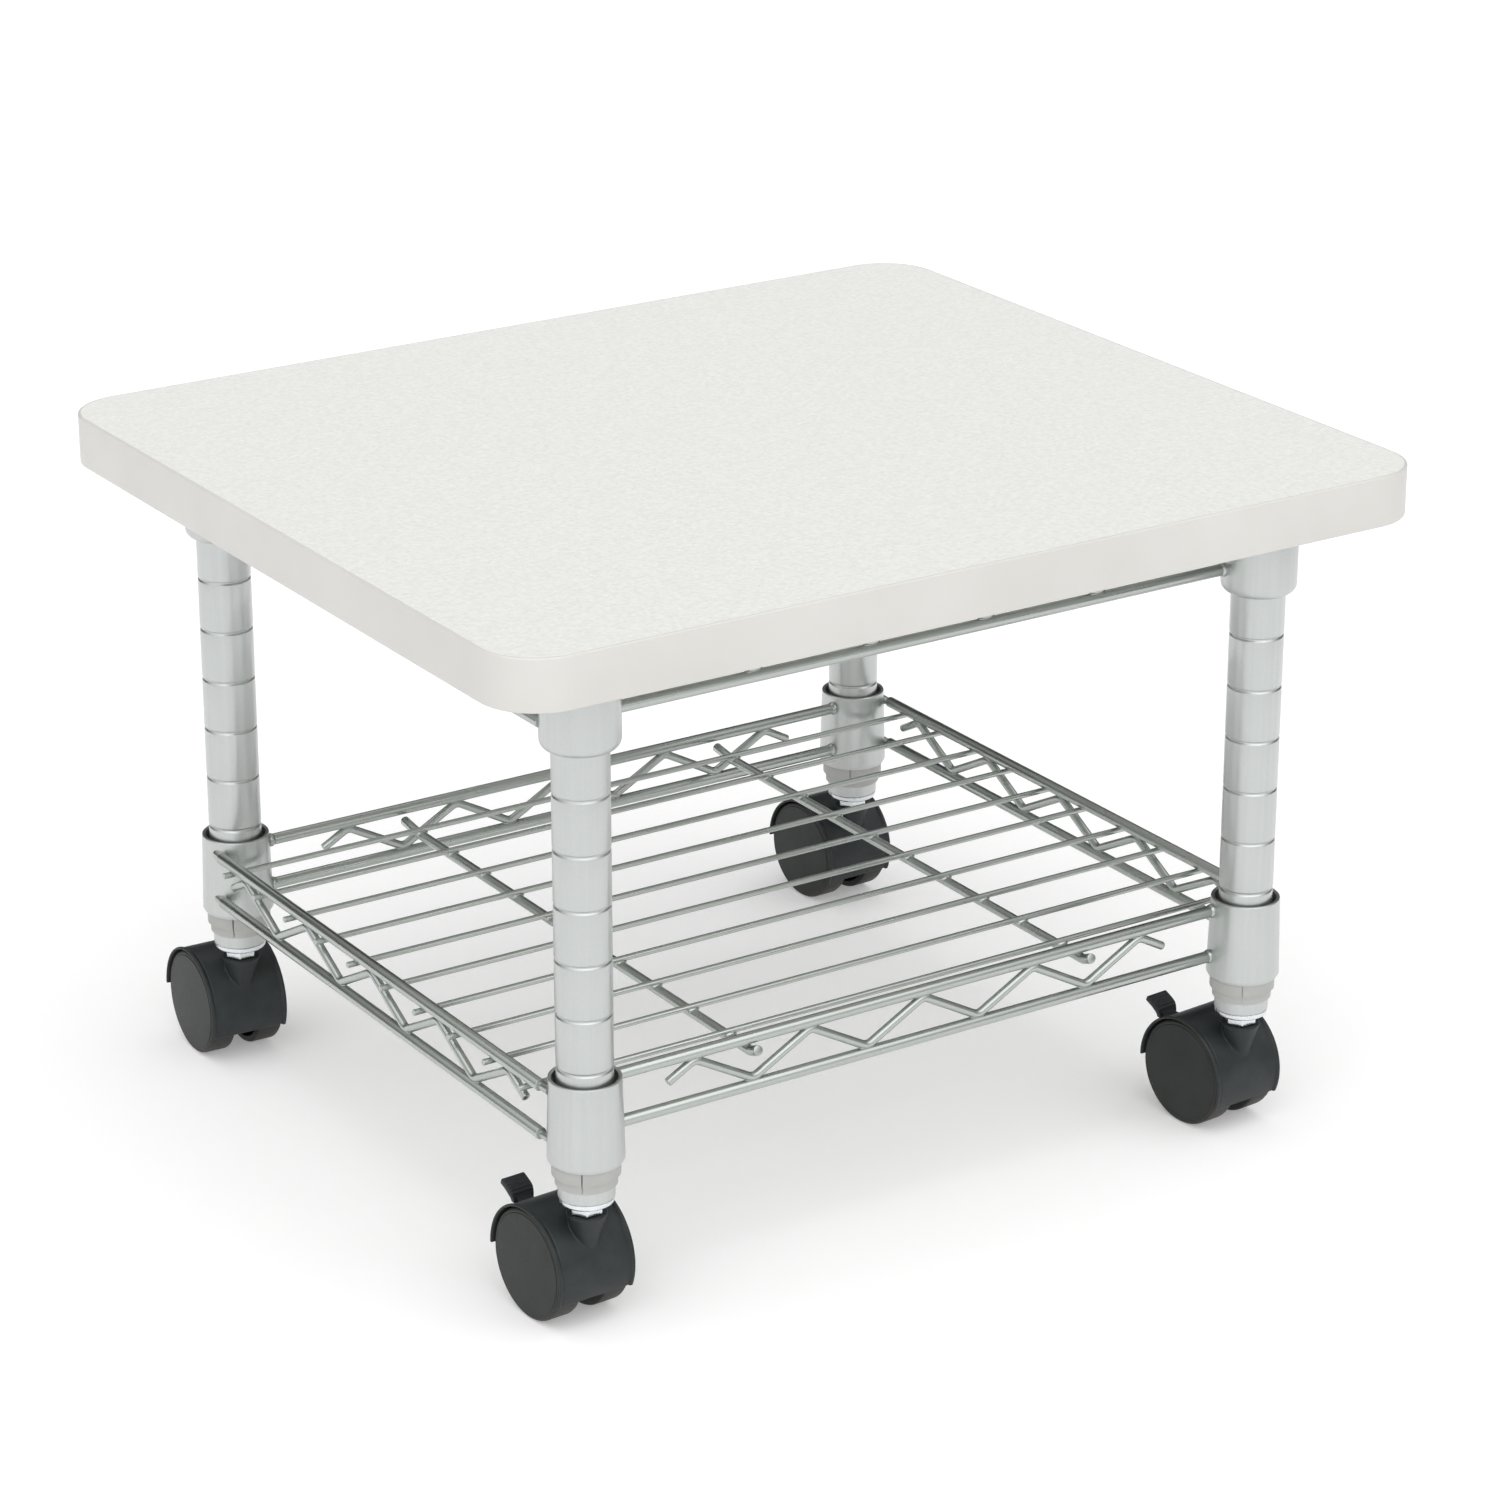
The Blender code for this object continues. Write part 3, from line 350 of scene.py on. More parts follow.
ZINC = bright_zinc()
for screw_place in ("front_left", "front_right", "rear_left", "rear_right"):
    node = f"top_screw_{screw_place}"
    low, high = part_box(node)
    centre = Vector(((low.x + high.x) / 2, (low.y + high.y) / 2, 0))
    flat = low.z + HEAD_HEIGHT
    pan = [(radius, flat - HEAD_HEIGHT * (1 - PAN_SHARE) - drop)
           for radius, drop in dome(HEAD_RADIUS, HEAD_HEIGHT * PAN_SHARE, 8)]
    screw = bmesh.new()
    spun(screw, [(0, high.z), (SHANK_RADIUS, high.z - SHANK_RADIUS), (SHANK_RADIUS, flat),
                 (HEAD_RADIUS, flat)] + pan, centre, 40)
    close_up(screw)
    recess = Vector((centre.x, centre.y, low.z))
    screw = cut_away(screw, [
        box_cutter((RECESS_LENGTH, RECESS_WIDTH, 2 * RECESS_DEPTH), recess),
        box_cutter((RECESS_WIDTH, RECESS_LENGTH, 2 * RECESS_DEPTH), recess),
    ])
    finished(f"board_screw_{screw_place}", screw, ZINC, "stand", [node])


# ---- The head frame's wires ----------------------------------------------------------
# Each side is two straight rails with a snake wire bent between them, spot-welded
# at every bend, then powder-coated in metallic silver-grey.

RAIL_RADIUS = 0.0028
SNAKE_RADIUS = 0.00205
WELD_SINK = 0.0009
SNAKE_PEAKS = 5
SNAKE_BEND_RADIUS = 0.0052
SNAKE_TAIL = 0.23
END_SNAKE_INSET = 0.0591
SIDE_SNAKE_INSET = 0.0400
RAIL_SIDES = 20
SNAKE_SIDES = 14
BEND_STEPS = 7
CUT_END = 0.0004
BEND_WELD_LENGTH = 0.0044
BEND_WELD_WIDTH = 0.0015
BEND_WELD_HEIGHT = 0.0013


def silver_powder_coat(name, roughness, dark, light, streak=0.0):
    """Metallic powder coat: a fine flake, a soft orange peel and, on tube, faint drawn lines."""
    finish, tree, shader, place = new_finish(name, roughness, 0.93)
    flake = cells(tree, place, 5200, 0.2)
    peel = noise(tree, place, 750, 2)
    drift = noise(tree, place, 30, 3)
    stretch = tree.nodes.new("ShaderNodeMapping")
    stretch.inputs["Scale"].default_value = (520, 520, 5)
    tree.links.new(place, stretch.inputs["Vector"])
    lines = spread(tree, noise(tree, stretch.outputs["Vector"], 1.0, 3, 0.6), 0.3, 0.7, -1, 1)
    weigh = tree.nodes.new("ShaderNodeMath")
    weigh.operation = "MULTIPLY_ADD"
    weigh.inputs[1].default_value = streak
    tree.links.new(lines, weigh.inputs[0])
    tree.links.new(spread(tree, flake, 0.1, 0.6, 0.85, 0.15), weigh.inputs[2])
    two_tone(tree, shader, weigh.outputs["Value"], dark, light)
    tree.links.new(spread(tree, drift, 0.3, 0.7, roughness - 0.03, roughness + 0.04),
                   shader.inputs["Roughness"])
    raise_bump(tree, shader, peel, 0.04, 0.00008)
    raise_bump(tree, shader, flake, 0.05, 0.00002)
    return finish


def bent_wire(shape, corners, radius, sides, bend_radius=0.0):
    """Draws a wire along corners: straight runs are extruded and bends are spun."""
    corners = [Vector(corner) for corner in corners]
    heading = (corners[1] - corners[0]).normalized()
    facing = heading.to_track_quat("Z", "Y").to_matrix().to_4x4()
    ring = bmesh.ops.create_circle(shape, segments=sides, radius=radius,
                                   matrix=Matrix.Translation(corners[0]) @ facing)["verts"]
    rim = sorted({edge for vert in ring for edge in vert.link_edges}, key=lambda e: e.index)
    rims = [rim]
    here = corners[0]
    for number in range(1, len(corners)):
        corner = corners[number]
        run_end = corner
        if number < len(corners) - 1:
            back = (corners[number - 1] - corner).normalized()
            ahead = (corners[number + 1] - corner).normalized()
            half = back.angle(ahead) / 2
            run_end = corner + back * (bend_radius / math.tan(half))
        drawn = bmesh.ops.extrude_edge_only(shape, edges=rim)["geom"]
        rim = [part for part in drawn if isinstance(part, bmesh.types.BMEdge)
               and all(vert in drawn for vert in part.verts)]
        moved = [part for part in drawn if isinstance(part, bmesh.types.BMVert)]
        bmesh.ops.translate(shape, vec=run_end - here, verts=moved)
        here = run_end
        if number < len(corners) - 1:
            centre = corner + (back + ahead).normalized() * (bend_radius / math.sin(half))
            bend_axis = (run_end - centre).cross(corner + ahead * (run_end - corner).length - centre)
            turned = bmesh.ops.spin(shape, geom=moved + rim, cent=centre,
                                    axis=bend_axis.normalized(), angle=math.pi - 2 * half,
                                    steps=BEND_STEPS)["geom_last"]
            rim = [part for part in turned if isinstance(part, bmesh.types.BMEdge)]
            here = corner + ahead * (run_end - corner).length
    rims.append(rim)
    for end in rims:
        cap = bmesh.ops.contextual_create(shape, geom=end)["faces"]
        bmesh.ops.bevel(shape, geom=[edge for face in cap for edge in face.edges],
                        affect="EDGES", offset=CUT_END, segments=2, profile=0.5, material=-1)


def weld_spot(shape, place, reach):
    """A small fused nugget, reach being its half sizes along X, Y and Z."""
    stretch = Matrix.Translation(place) @ Matrix.Diagonal((*reach, 1))
    bmesh.ops.create_uvsphere(shape, u_segments=14, v_segments=8, radius=1.0, matrix=stretch)


def snake_wire(half_span, top, foot):
    """Corners (along, height) of a snake wire from one cut end to the other."""
    half_wave = half_span / (SNAKE_PEAKS - 1)
    touch = RAIL_RADIUS + SNAKE_RADIUS - WELD_SINK
    rise = top - foot - 2 * touch
    square = (half_wave / SNAKE_BEND_RADIUS) ** 2 - 4
    linear = 2 * half_wave ** 2 / SNAKE_BEND_RADIUS - 4 * rise
    round_off = (math.sqrt(linear ** 2 + 4 * square * rise ** 2) - linear) / (2 * square)
    high = top - touch + round_off
    low = foot + touch - round_off
    tail = 2 * half_wave * SNAKE_TAIL
    tail_height = high - (high - low) * SNAKE_TAIL * 2
    corners = [(-half_span - tail, tail_height)]
    for bend in range(2 * SNAKE_PEAKS - 1):
        corners.append((-half_span + bend * half_wave, low if bend % 2 else high))
    return corners + [(half_span + tail, tail_height)]


def wire_side(shape, axis, across, half_length, half_span, top, foot):
    """Two rails, the snake between them and its weld spots, along X or Y."""
    def place(along, height):
        return Vector((along, across, height) if axis == "X" else (across, along, height))

    for height in (top, foot):
        bent_wire(shape, [place(-half_length, height), place(half_length, height)],
                  RAIL_RADIUS, RAIL_SIDES)
    corners = snake_wire(half_span, top, foot)
    bent_wire(shape, [place(*corner) for corner in corners], SNAKE_RADIUS, SNAKE_SIDES,
              SNAKE_BEND_RADIUS)
    for number, (along, height) in enumerate(corners[1:-1]):
        side = 1 if number % 2 == 0 else -1
        rail = top if side > 0 else foot
        spot = place(along, rail - side * (RAIL_RADIUS - WELD_SINK / 4))
        reach = (BEND_WELD_LENGTH, BEND_WELD_WIDTH, BEND_WELD_HEIGHT)
        if axis == "Y":
            reach = (BEND_WELD_WIDTH, BEND_WELD_LENGTH, BEND_WELD_HEIGHT)
        weld_spot(shape, spot, reach)


# The wires and tabs get the frame's silver powder coat painted darker and greener than the tube coat:
# painted shade for the dark shaded sides of the thin wires.
SILVER_WITH_PAINTED_SHADE = silver_powder_coat("silver_wire_coat_painted_shade", 0.28, (0.42, 0.45, 0.425), (0.55, 0.575, 0.555))
POST_PLACES = {place: middle_of(f"post_{place}")
               for place in ("front_left", "front_right", "rear_left", "rear_right")}
post_x = POST_PLACES["front_right"].x
post_y = POST_PLACES["rear_right"].y
head_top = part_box("head_frame_left")[1].z
HEAD_RAIL_SPACING = 0.0232
head_rails = (head_top - RAIL_RADIUS, head_top - RAIL_RADIUS - HEAD_RAIL_SPACING)
for end in ("front", "rear"):
    low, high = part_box(f"head_frame_{end}")
    wires = bmesh.new()
    wire_side(wires, "X", (low.y + high.y) / 2, high.x, post_x - END_SNAKE_INSET, *head_rails)
    close_up(wires)
    finished(f"head_wires_{end}", wires, SILVER_WITH_PAINTED_SHADE, "stand", [f"head_frame_{end}"])


# ---- The head frame's sides, collars and tabs ----------------------------------------
# A pressed collar closes over each post's head and is welded to the rails; two
# punched steel tabs on each side rail take the board's screws.

HEAD_COLLAR_HEIGHT = 0.0377
HEAD_COLLAR_WALL = 0.0046
HEAD_COLLAR_RADIUS = 0.0176
SHOULDER_STEPS = 8
POST_FIT = 0.0003
SIDE_RAIL_SINK = 0.0074
TAB_WIDTH = 0.0180
TAB_REACH = 0.0180
TAB_THICKNESS = 0.0015
TAB_HOLE_RADIUS = 0.0021
TAB_CORNER = 0.0030
HEAD_WELD = (0.0032, 0.0034, 0.0034)
COLLAR_SIDES = 72

post_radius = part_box("post_front_left")[1].x - POST_PLACES["front_left"].x
TUBE_SILVER = silver_powder_coat("silver_tube_coat", 0.33, (0.50, 0.52, 0.51),
                                 (0.64, 0.66, 0.65), 0.09)
side_rail_x = middle_of("shelf_right_side").x
for side, sign in (("left", -1), ("right", 1)):
    wires = bmesh.new()
    wire_side(wires, "Y", sign * side_rail_x, post_y - SIDE_RAIL_SINK,
              post_y - SIDE_SNAKE_INSET, *head_rails)
    close_up(wires)
    finished(f"head_wires_{side}", wires, SILVER_WITH_PAINTED_SHADE, "stand",
             [f"head_frame_{side}"])
    for end in ("front", "rear"):
        screw_at = middle_of(f"top_screw_{end}_{side}")
        rail_edge = sign * side_rail_x
        tab_middle = Vector((rail_edge - sign * TAB_REACH / 2, screw_at.y,
                             head_top - TAB_THICKNESS / 2))
        tab = box_cutter((TAB_REACH, TAB_WIDTH, TAB_THICKNESS), tab_middle)
        ease_edges(tab, TAB_CORNER, 5, 80, lambda edge: abs(
            edge.verts[0].co.z - edge.verts[1].co.z) > TAB_THICKNESS / 2)
        ease_edges(tab, 0.0003, 2, 60)
        hole = bmesh.new()
        bmesh.ops.create_cone(hole, cap_ends=True, segments=32, radius1=TAB_HOLE_RADIUS,
                              radius2=TAB_HOLE_RADIUS, depth=4 * TAB_THICKNESS,
                              matrix=Matrix.Translation((screw_at.x, screw_at.y, tab_middle.z)))
        finished(f"head_tab_{end}_{side}", cut_away(tab, [hole]), SILVER_WITH_PAINTED_SHADE, "stand")

for place, post_at in POST_PLACES.items():
    bore = post_radius + POST_FIT
    foot = head_top - HEAD_COLLAR_HEIGHT
    profile = [(0, head_top), (HEAD_COLLAR_RADIUS, head_top)]
    for step in range(SHOULDER_STEPS + 1):
        angle = math.radians(-80) * step / SHOULDER_STEPS
        profile.append((bore + HEAD_COLLAR_WALL * math.cos(angle),
                        foot + HEAD_COLLAR_WALL * (1 + math.sin(angle))))
    profile += [(bore, foot), (bore, head_top - 0.003), (0, head_top - 0.003)]
    collar = bmesh.new()
    spun(collar, profile, (post_at.x, post_at.y, 0), COLLAR_SIDES)
    close_up(collar)
    ease_edges(collar, 0.0004, 2, 70)
    inward = -math.copysign(1, post_at.x)
    rail_y = math.copysign(middle_of("head_frame_rear").y, post_at.y)
    for height in head_rails:
        weld_spot(collar, Vector((post_at.x + inward * (HEAD_COLLAR_RADIUS - 0.0002), rail_y,
                                  height)), HEAD_WELD)
    finished(f"head_collar_{place}", collar, TUBE_SILVER, "stand")


# ---- The posts -----------------------------------------------------------------------
# Welded steel tube with a shallow groove rolled in at every inch, powder-coated
# to match the frame.

POST_WALL = 0.0015
GROOVE_PITCH = 0.0254
LOWEST_GROOVE_RISE = 0.0367
GROOVE_DEPTH = 0.0006
GROOVE_HALF_WIDTH = 0.0012
GROOVE_STEPS = 10

for place, post_at in POST_PLACES.items():
    low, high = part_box(f"post_{place}")
    profile = [(post_radius - POST_WALL, low.z), (post_radius - 0.0002, low.z),
               (post_radius, low.z + 0.0002)]
    level = low.z + LOWEST_GROOVE_RISE
    while level < head_top - HEAD_COLLAR_HEIGHT - GROOVE_HALF_WIDTH:
        for step in range(GROOVE_STEPS + 1):
            across = 2 * step / GROOVE_STEPS - 1
            depth = GROOVE_DEPTH * (1 + math.cos(math.pi * across)) / 2
            profile.append((post_radius - depth, level + across * GROOVE_HALF_WIDTH))
        level += GROOVE_PITCH
    profile += [(post_radius, high.z), (post_radius - POST_WALL, high.z)]
    tube = bmesh.new()
    spun(tube, profile, (post_at.x, post_at.y, 0), 80)
    close_up(tube)
    finished(f"tube_{place}", tube, TUBE_SILVER, "stand", [f"post_{place}"])


# ---- The inserts and the caster stems ------------------------------------------------
# A turned, threaded insert is pressed into the foot of each post; the caster's
# zinc-plated stem screws up into it by its hexagon.

FLANGE_HEIGHT = 0.0030
INSERT_BORE = 0.0043
HEX_HEIGHT = 0.0046
THREAD_RADIUS = 0.0040
PIN_RADIUS = 0.0034
PIN_IN_HOOD = 0.0180

for place, post_at in POST_PLACES.items():
    axis_foot = (post_at.x, post_at.y, 0)
    low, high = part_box(f"post_insert_{place}")
    flange = post_radius - POST_FIT
    plug = post_radius - POST_WALL - POST_FIT
    profile = [(INSERT_BORE, low.z)]
    for step in range(7):
        angle = math.radians(-90 + 15 * step)
        profile.append((flange - 0.0017 + 0.0017 * math.cos(angle),
                        low.z + 0.0017 + 0.0017 * math.sin(angle)))
    profile += [(flange, low.z + FLANGE_HEIGHT - 0.0003),
                (flange - 0.0003, low.z + FLANGE_HEIGHT), (plug, low.z + FLANGE_HEIGHT),
                (plug, high.z), (INSERT_BORE, high.z)]
    insert = bmesh.new()
    spun(insert, profile, axis_foot, 64)
    close_up(insert)
    finished(f"insert_{place}", insert, ZINC, "stand", [f"post_insert_{place}"])

    low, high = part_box(f"caster_stem_{place}")
    hex_foot = low.z + PIN_IN_HOOD + 0.0003
    across_corners = (high.y - low.y) / 2
    across_corners = max(across_corners, (high.x - low.x) / 2)
    stem = bmesh.new()
    bmesh.ops.create_cone(stem, cap_ends=True, segments=6, radius1=across_corners,
                          radius2=across_corners, depth=HEX_HEIGHT,
                          matrix=Matrix.Translation((*axis_foot[:2], hex_foot + HEX_HEIGHT / 2))
                          @ Matrix.Rotation(math.radians(30), 4, "Z"))
    ease_edges(stem, 0.0005, 3, 40)
    spun(stem, [(0, high.z), (THREAD_RADIUS, high.z), (THREAD_RADIUS, hex_foot),
                (PIN_RADIUS, hex_foot), (PIN_RADIUS, low.z), (0, low.z)], axis_foot, 32)
    close_up(stem)
    finished(f"stem_{place}", stem, ZINC, "stand", [f"caster_stem_{place}"])


# ---- The split sleeves ---------------------------------------------------------------
# Two grey nylon half sleeves clip round each post, a rib in one groove, and wedge
# in the shelf's collar; a narrow slit is left between the halves.

SLEEVE_FOOT_WALL = 0.0023
SLEEVE_SPLIT_TURN = math.radians(-38)
SLEEVE_SPLIT = 0.0006
COLLAR_WALL = 0.0018
COLLAR_TAPER = 0.0011
LIP_HEIGHT = 0.0032
LIP_WALL = 0.0009
RIB_REACH = 0.0005


def moulded_sleeve():
    finish, tree, shader, place = new_finish("sleeve_nylon", 0.5)
    drift = noise(tree, place, 60, 3)
    two_tone(tree, shader, spread(tree, drift, 0.3, 0.7, 0, 1),
             (0.40, 0.40, 0.385), (0.44, 0.44, 0.425))
    grain = noise(tree, place, 2600, 2)
    tree.links.new(spread(tree, grain, 0.3, 0.7, 0.44, 0.58), shader.inputs["Roughness"])
    raise_bump(tree, shader, grain, 0.15, 0.00004)
    return finish


SLEEVE = moulded_sleeve()
for place, post_at in POST_PLACES.items():
    collar_low, collar_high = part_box(f"shelf_collar_{place}")
    base_radius = (collar_high.x - collar_low.x) / 2
    bore = post_radius + POST_FIT
    for half, half_turn in (("outer", 0), ("inner", math.pi)):
        node = f"sleeve_{place}_{half}"
        low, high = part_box(node)
        fit = COLLAR_WALL + POST_FIT
        skirt = bore + SLEEVE_FOOT_WALL
        lip = bore + LIP_WALL
        taper = COLLAR_TAPER * (high.z - collar_low.z) / (collar_high.z - collar_low.z)
        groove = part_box(f"post_{place}")[0].z + LOWEST_GROOVE_RISE
        profile = [
            (base_radius - taper - fit, high.z), (skirt, collar_low.z),
            (skirt, low.z + LIP_HEIGHT + skirt - lip + 0.0004),
            (skirt - 0.0004, low.z + LIP_HEIGHT + skirt - lip - 0.0001),
            (lip, low.z + LIP_HEIGHT), (lip, low.z + 0.0003), (lip - 0.0003, low.z),
            (bore, low.z), (bore, groove - 0.0004), (bore - RIB_REACH, groove),
            (bore, groove + 0.0004), (bore, high.z),
        ]
        slit = SLEEVE_SPLIT / 2 / skirt
        start = math.pi / 2 + SLEEVE_SPLIT_TURN + half_turn + slit
        shell = bmesh.new()
        spun(shell, profile, (post_at.x, post_at.y, 0), 48,
             out=(math.cos(start), math.sin(start), 0), sweep=math.pi - 2 * slit)
        close_up(shell)
        finished(f"half_sleeve_{place}_{half}", shell, SLEEVE, "stand",
                 [node])


# ---- The shelf's collars -------------------------------------------------------------
# Short tapered steel collars that drop over the sleeves; the shelf's rails are
# welded to them.

COLLAR_CHAMFER_HEIGHT = 0.0016
COLLAR_CHAMFER_DEPTH = 0.0010
RIM_ROUND = 0.0005

for place, post_at in POST_PLACES.items():
    node = f"shelf_collar_{place}"
    low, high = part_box(node)
    base_radius = (high.x - low.x) / 2
    top_radius = base_radius - COLLAR_TAPER
    profile = [(base_radius - COLLAR_WALL, low.z + 0.0002),
               (base_radius - COLLAR_WALL + 0.0002, low.z),
               (base_radius - COLLAR_CHAMFER_DEPTH, low.z),
               (base_radius - 0.0001, low.z + COLLAR_CHAMFER_HEIGHT),
               (base_radius - 0.0001, low.z + COLLAR_CHAMFER_HEIGHT + 0.0006)]
    for step in range(7):
        angle = math.radians(30 * step)
        reach = RIM_ROUND if step < 4 else RIM_ROUND * 0.8
        middle = top_radius - RIM_ROUND if step < 4 else top_radius - COLLAR_WALL + 0.0004
        profile.append((middle + reach * math.cos(angle),
                        high.z - RIM_ROUND + reach * math.sin(angle)))
    collar = bmesh.new()
    spun(collar, profile, (post_at.x, post_at.y, 0), COLLAR_SIDES)
    close_up(collar)
    finished(f"collar_{place}", collar, TUBE_SILVER, "shelf", [node])


# ---- The shelf's four sides ----------------------------------------------------------
# The same rail-and-snake sides as the head frame; the end rails butt on the
# collars' inner faces and the side rails are welded tangent to their outer faces.

SHELF_RAIL_SPACING = 0.0232
COLLAR_WELD = (0.0024, 0.0034, 0.0034)


def weld_neck(shape, start, end, start_radius, end_radius):
    """The fused neck between a rail's cut end and a collar."""
    run = end - start
    matrix = Matrix.Translation((start + end) / 2) @ run.to_track_quat("Z", "Y").to_matrix().to_4x4()
    bmesh.ops.create_cone(shape, cap_ends=True, segments=18, radius1=start_radius,
                          radius2=end_radius, depth=run.length, matrix=matrix)


collar_low, collar_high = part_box("shelf_collar_front_left")
collar_radius = (collar_high.x - collar_low.x) / 2
shelf_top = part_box("shelf_front_side")[1].z
shelf_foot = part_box("shelf_front_side")[0].z
shelf_top_rail = (shelf_top + shelf_foot) / 2 + SHELF_RAIL_SPACING / 2
shelf_rails = (shelf_top_rail, shelf_top_rail - SHELF_RAIL_SPACING)
end_rail_y = middle_of("shelf_rear_side").y
for end, sign in (("front", -1), ("rear", 1)):
    low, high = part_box(f"shelf_{end}_side")
    wires = bmesh.new()
    wire_side(wires, "X", sign * end_rail_y, high.x, post_x - END_SNAKE_INSET, *shelf_rails)
    for side in (-1, 1):
        for height in shelf_rails:
            radius = collar_radius - COLLAR_TAPER * (height - collar_low.z) / 0.040
            face = post_x - math.sqrt(radius ** 2 - (post_y - end_rail_y) ** 2)
            weld_neck(wires, Vector((side * (high.x - 0.0006), sign * end_rail_y, height)),
                      Vector((side * (face + 0.0008), sign * end_rail_y, height)),
                      0.0017, 0.0023)
            weld_spot(wires, Vector((side * (face - 0.0006), sign * end_rail_y, height)),
                      COLLAR_WELD)
    close_up(wires)
    finished(f"shelf_wires_{end}", wires, SILVER_WITH_PAINTED_SHADE, "shelf",
             [f"shelf_{end}_side"])
for side, sign in (("left", -1), ("right", 1)):
    low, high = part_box(f"shelf_{side}_side")
    wires = bmesh.new()
    wire_side(wires, "Y", sign * side_rail_x, high.y, post_y - SIDE_SNAKE_INSET, *shelf_rails)
    for end in (-1, 1):
        for height in shelf_rails:
            weld_neck(wires, Vector((sign * side_rail_x, end * (high.y - 0.0008), height)),
                      Vector((sign * (side_rail_x - 0.0012), end * (high.y + 0.0062), height)),
                      0.0016, 0.0026)
    close_up(wires)
    finished(f"shelf_wires_{side}", wires, SILVER_WITH_PAINTED_SHADE, "shelf",
             [f"shelf_{side}_side"])


# ---- The shelf's deck ----------------------------------------------------------------
# Ten thin wires lie under the side rails on two thicker cross rods, spot-welded at
# each crossing; the rods climb to the rear rail and turn up in front of the front one.

DECK_WIRE_RADIUS = 0.00145
DECK_WIRE_COUNT = 10
DECK_WIRE_INSET = 0.0190
CROSS_ROD_RADIUS = 0.0024
ROD_RISE_LENGTH = 0.0140
ROD_REAR_GAP = 0.0020
ROD_NOSE = 0.0016
ROD_BEND_RADIUS = 0.0080
ROD_NOSE_RISE = 0.0026
ROD_NOSE_LENGTH = 0.0058
DECK_WELD = (0.0036, 0.0026, 0.0019)

low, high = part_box("shelf_deck")
wire_z = shelf_top_rail - RAIL_RADIUS - DECK_WIRE_RADIUS - POST_FIT
rod_z = wire_z - DECK_WIRE_RADIUS - CROSS_ROD_RADIUS + WELD_SINK
rod_x = 1.5 * (post_x - END_SNAKE_INSET) / ((SNAKE_PEAKS - 1) / 2)
tail_y = end_rail_y - ROD_REAR_GAP
tail_z = shelf_top_rail - RAIL_RADIUS - CROSS_ROD_RADIUS - POST_FIT
nose_y = end_rail_y + RAIL_RADIUS + ROD_NOSE
wire_pitch = 2 * (end_rail_y - DECK_WIRE_INSET) / (DECK_WIRE_COUNT - 1)
deck = bmesh.new()
for x in (-rod_x, rod_x):
    bent_wire(deck, [(x, -nose_y - 0.0002, rod_z + ROD_NOSE_RISE), (x, -nose_y + ROD_NOSE_LENGTH, rod_z),
                     (x, tail_y - ROD_RISE_LENGTH, rod_z), (x, tail_y, tail_z)],
              CROSS_ROD_RADIUS, RAIL_SIDES, ROD_BEND_RADIUS)
for number in range(DECK_WIRE_COUNT):
    y = (number - (DECK_WIRE_COUNT - 1) / 2) * wire_pitch
    bent_wire(deck, [(-high.x, y, wire_z), (high.x, y, wire_z)], DECK_WIRE_RADIUS, SNAKE_SIDES)
    for x in (-rod_x, rod_x):
        weld_spot(deck, Vector((x, y, wire_z - DECK_WIRE_RADIUS)), DECK_WELD)
close_up(deck)
finished("deck_wires", deck, SILVER_WITH_PAINTED_SHADE, "shelf", ["shelf_deck"])


# ---- The caster hoods ----------------------------------------------------------------
# Injection-moulded black nylon: a curved shell with a raised bead along each rim,
# a web between the wheels and a tapered boss that takes the stem's pin.

CASTER_TRAIL = 0.0198
WHEEL_RADIUS = 0.0261
HOOD_INNER = 0.0266
HOOD_OUTER = 0.0280
HOOD_HALF_WIDTH = 0.0203
HOOD_SWEEP = math.radians(204)
BEAD_PROUD = 0.0006
WEB_HALF_WIDTH = 0.0052
BOSS_RADIUS = 0.0093
BOSS_TIP_RADIUS = 0.0042
BOSS_HEIGHT = 0.0205
BOSS_TOP = 0.0289
SOCKET_RADIUS = 0.0043
LEVER_PIVOT = Vector((0, 0.0220 * math.cos(math.radians(40)), 0.0220 * math.sin(math.radians(40))))
HOOD_VOXEL = 0.00040
HUB_WEB_RADIUS = 0.0075
WEB_RIM = 0.0273
SLOT_HALF_WIDTH = 0.0037
SLOT_PIVOT_RADIUS = 0.0048
SLOT_REACH = 0.042
SLOT_ANGLES = (9, 44)
PIN_HOLE_RADIUS = 0.0018
PIN_HOLE_HALF_LENGTH = 0.0066
SOCKET_DEPTH = 0.040
ROOM_PAST_RIM = 0.002


def textured_nylon(name, dark, light, roughness, grain_scale, grain_depth):
    finish, tree, shader, place = new_finish(name, roughness)
    shader.inputs["Specular IOR Level"].default_value = 0.3
    drift = noise(tree, place, 90, 4)
    two_tone(tree, shader, spread(tree, drift, 0.3, 0.7, 0, 1), dark, light)
    grain = noise(tree, place, grain_scale, 3)
    tree.links.new(spread(tree, grain, 0.3, 0.7, roughness - 0.07, roughness + 0.07),
                   shader.inputs["Roughness"])
    raise_bump(tree, shader, grain, 0.35, grain_depth)
    return finish


def hull_of(shape):
    """Wraps the shape's points in their convex hull."""
    wrapped = bmesh.ops.convex_hull(shape, input=shape.verts)
    loose = wrapped["geom_interior"] + wrapped["geom_unused"]
    bmesh.ops.delete(shape, geom=[part for part in loose if isinstance(part, bmesh.types.BMVert)],
                     context="VERTS")
    bmesh.ops.delete(shape, geom=[face for face in wrapped["geom_holes"]
                                  if isinstance(face, bmesh.types.BMFace)], context="FACES")
    close_up(shape)


def rod_across(shape, radius, half_width, centre=(0, 0, 0), sides=48):
    """A cylinder along X."""
    bmesh.ops.create_cone(shape, cap_ends=True, segments=sides, radius1=radius, radius2=radius,
                          depth=2 * half_width, matrix=Matrix.Translation(centre)
                          @ Matrix.Rotation(math.pi / 2, 4, "Y"))


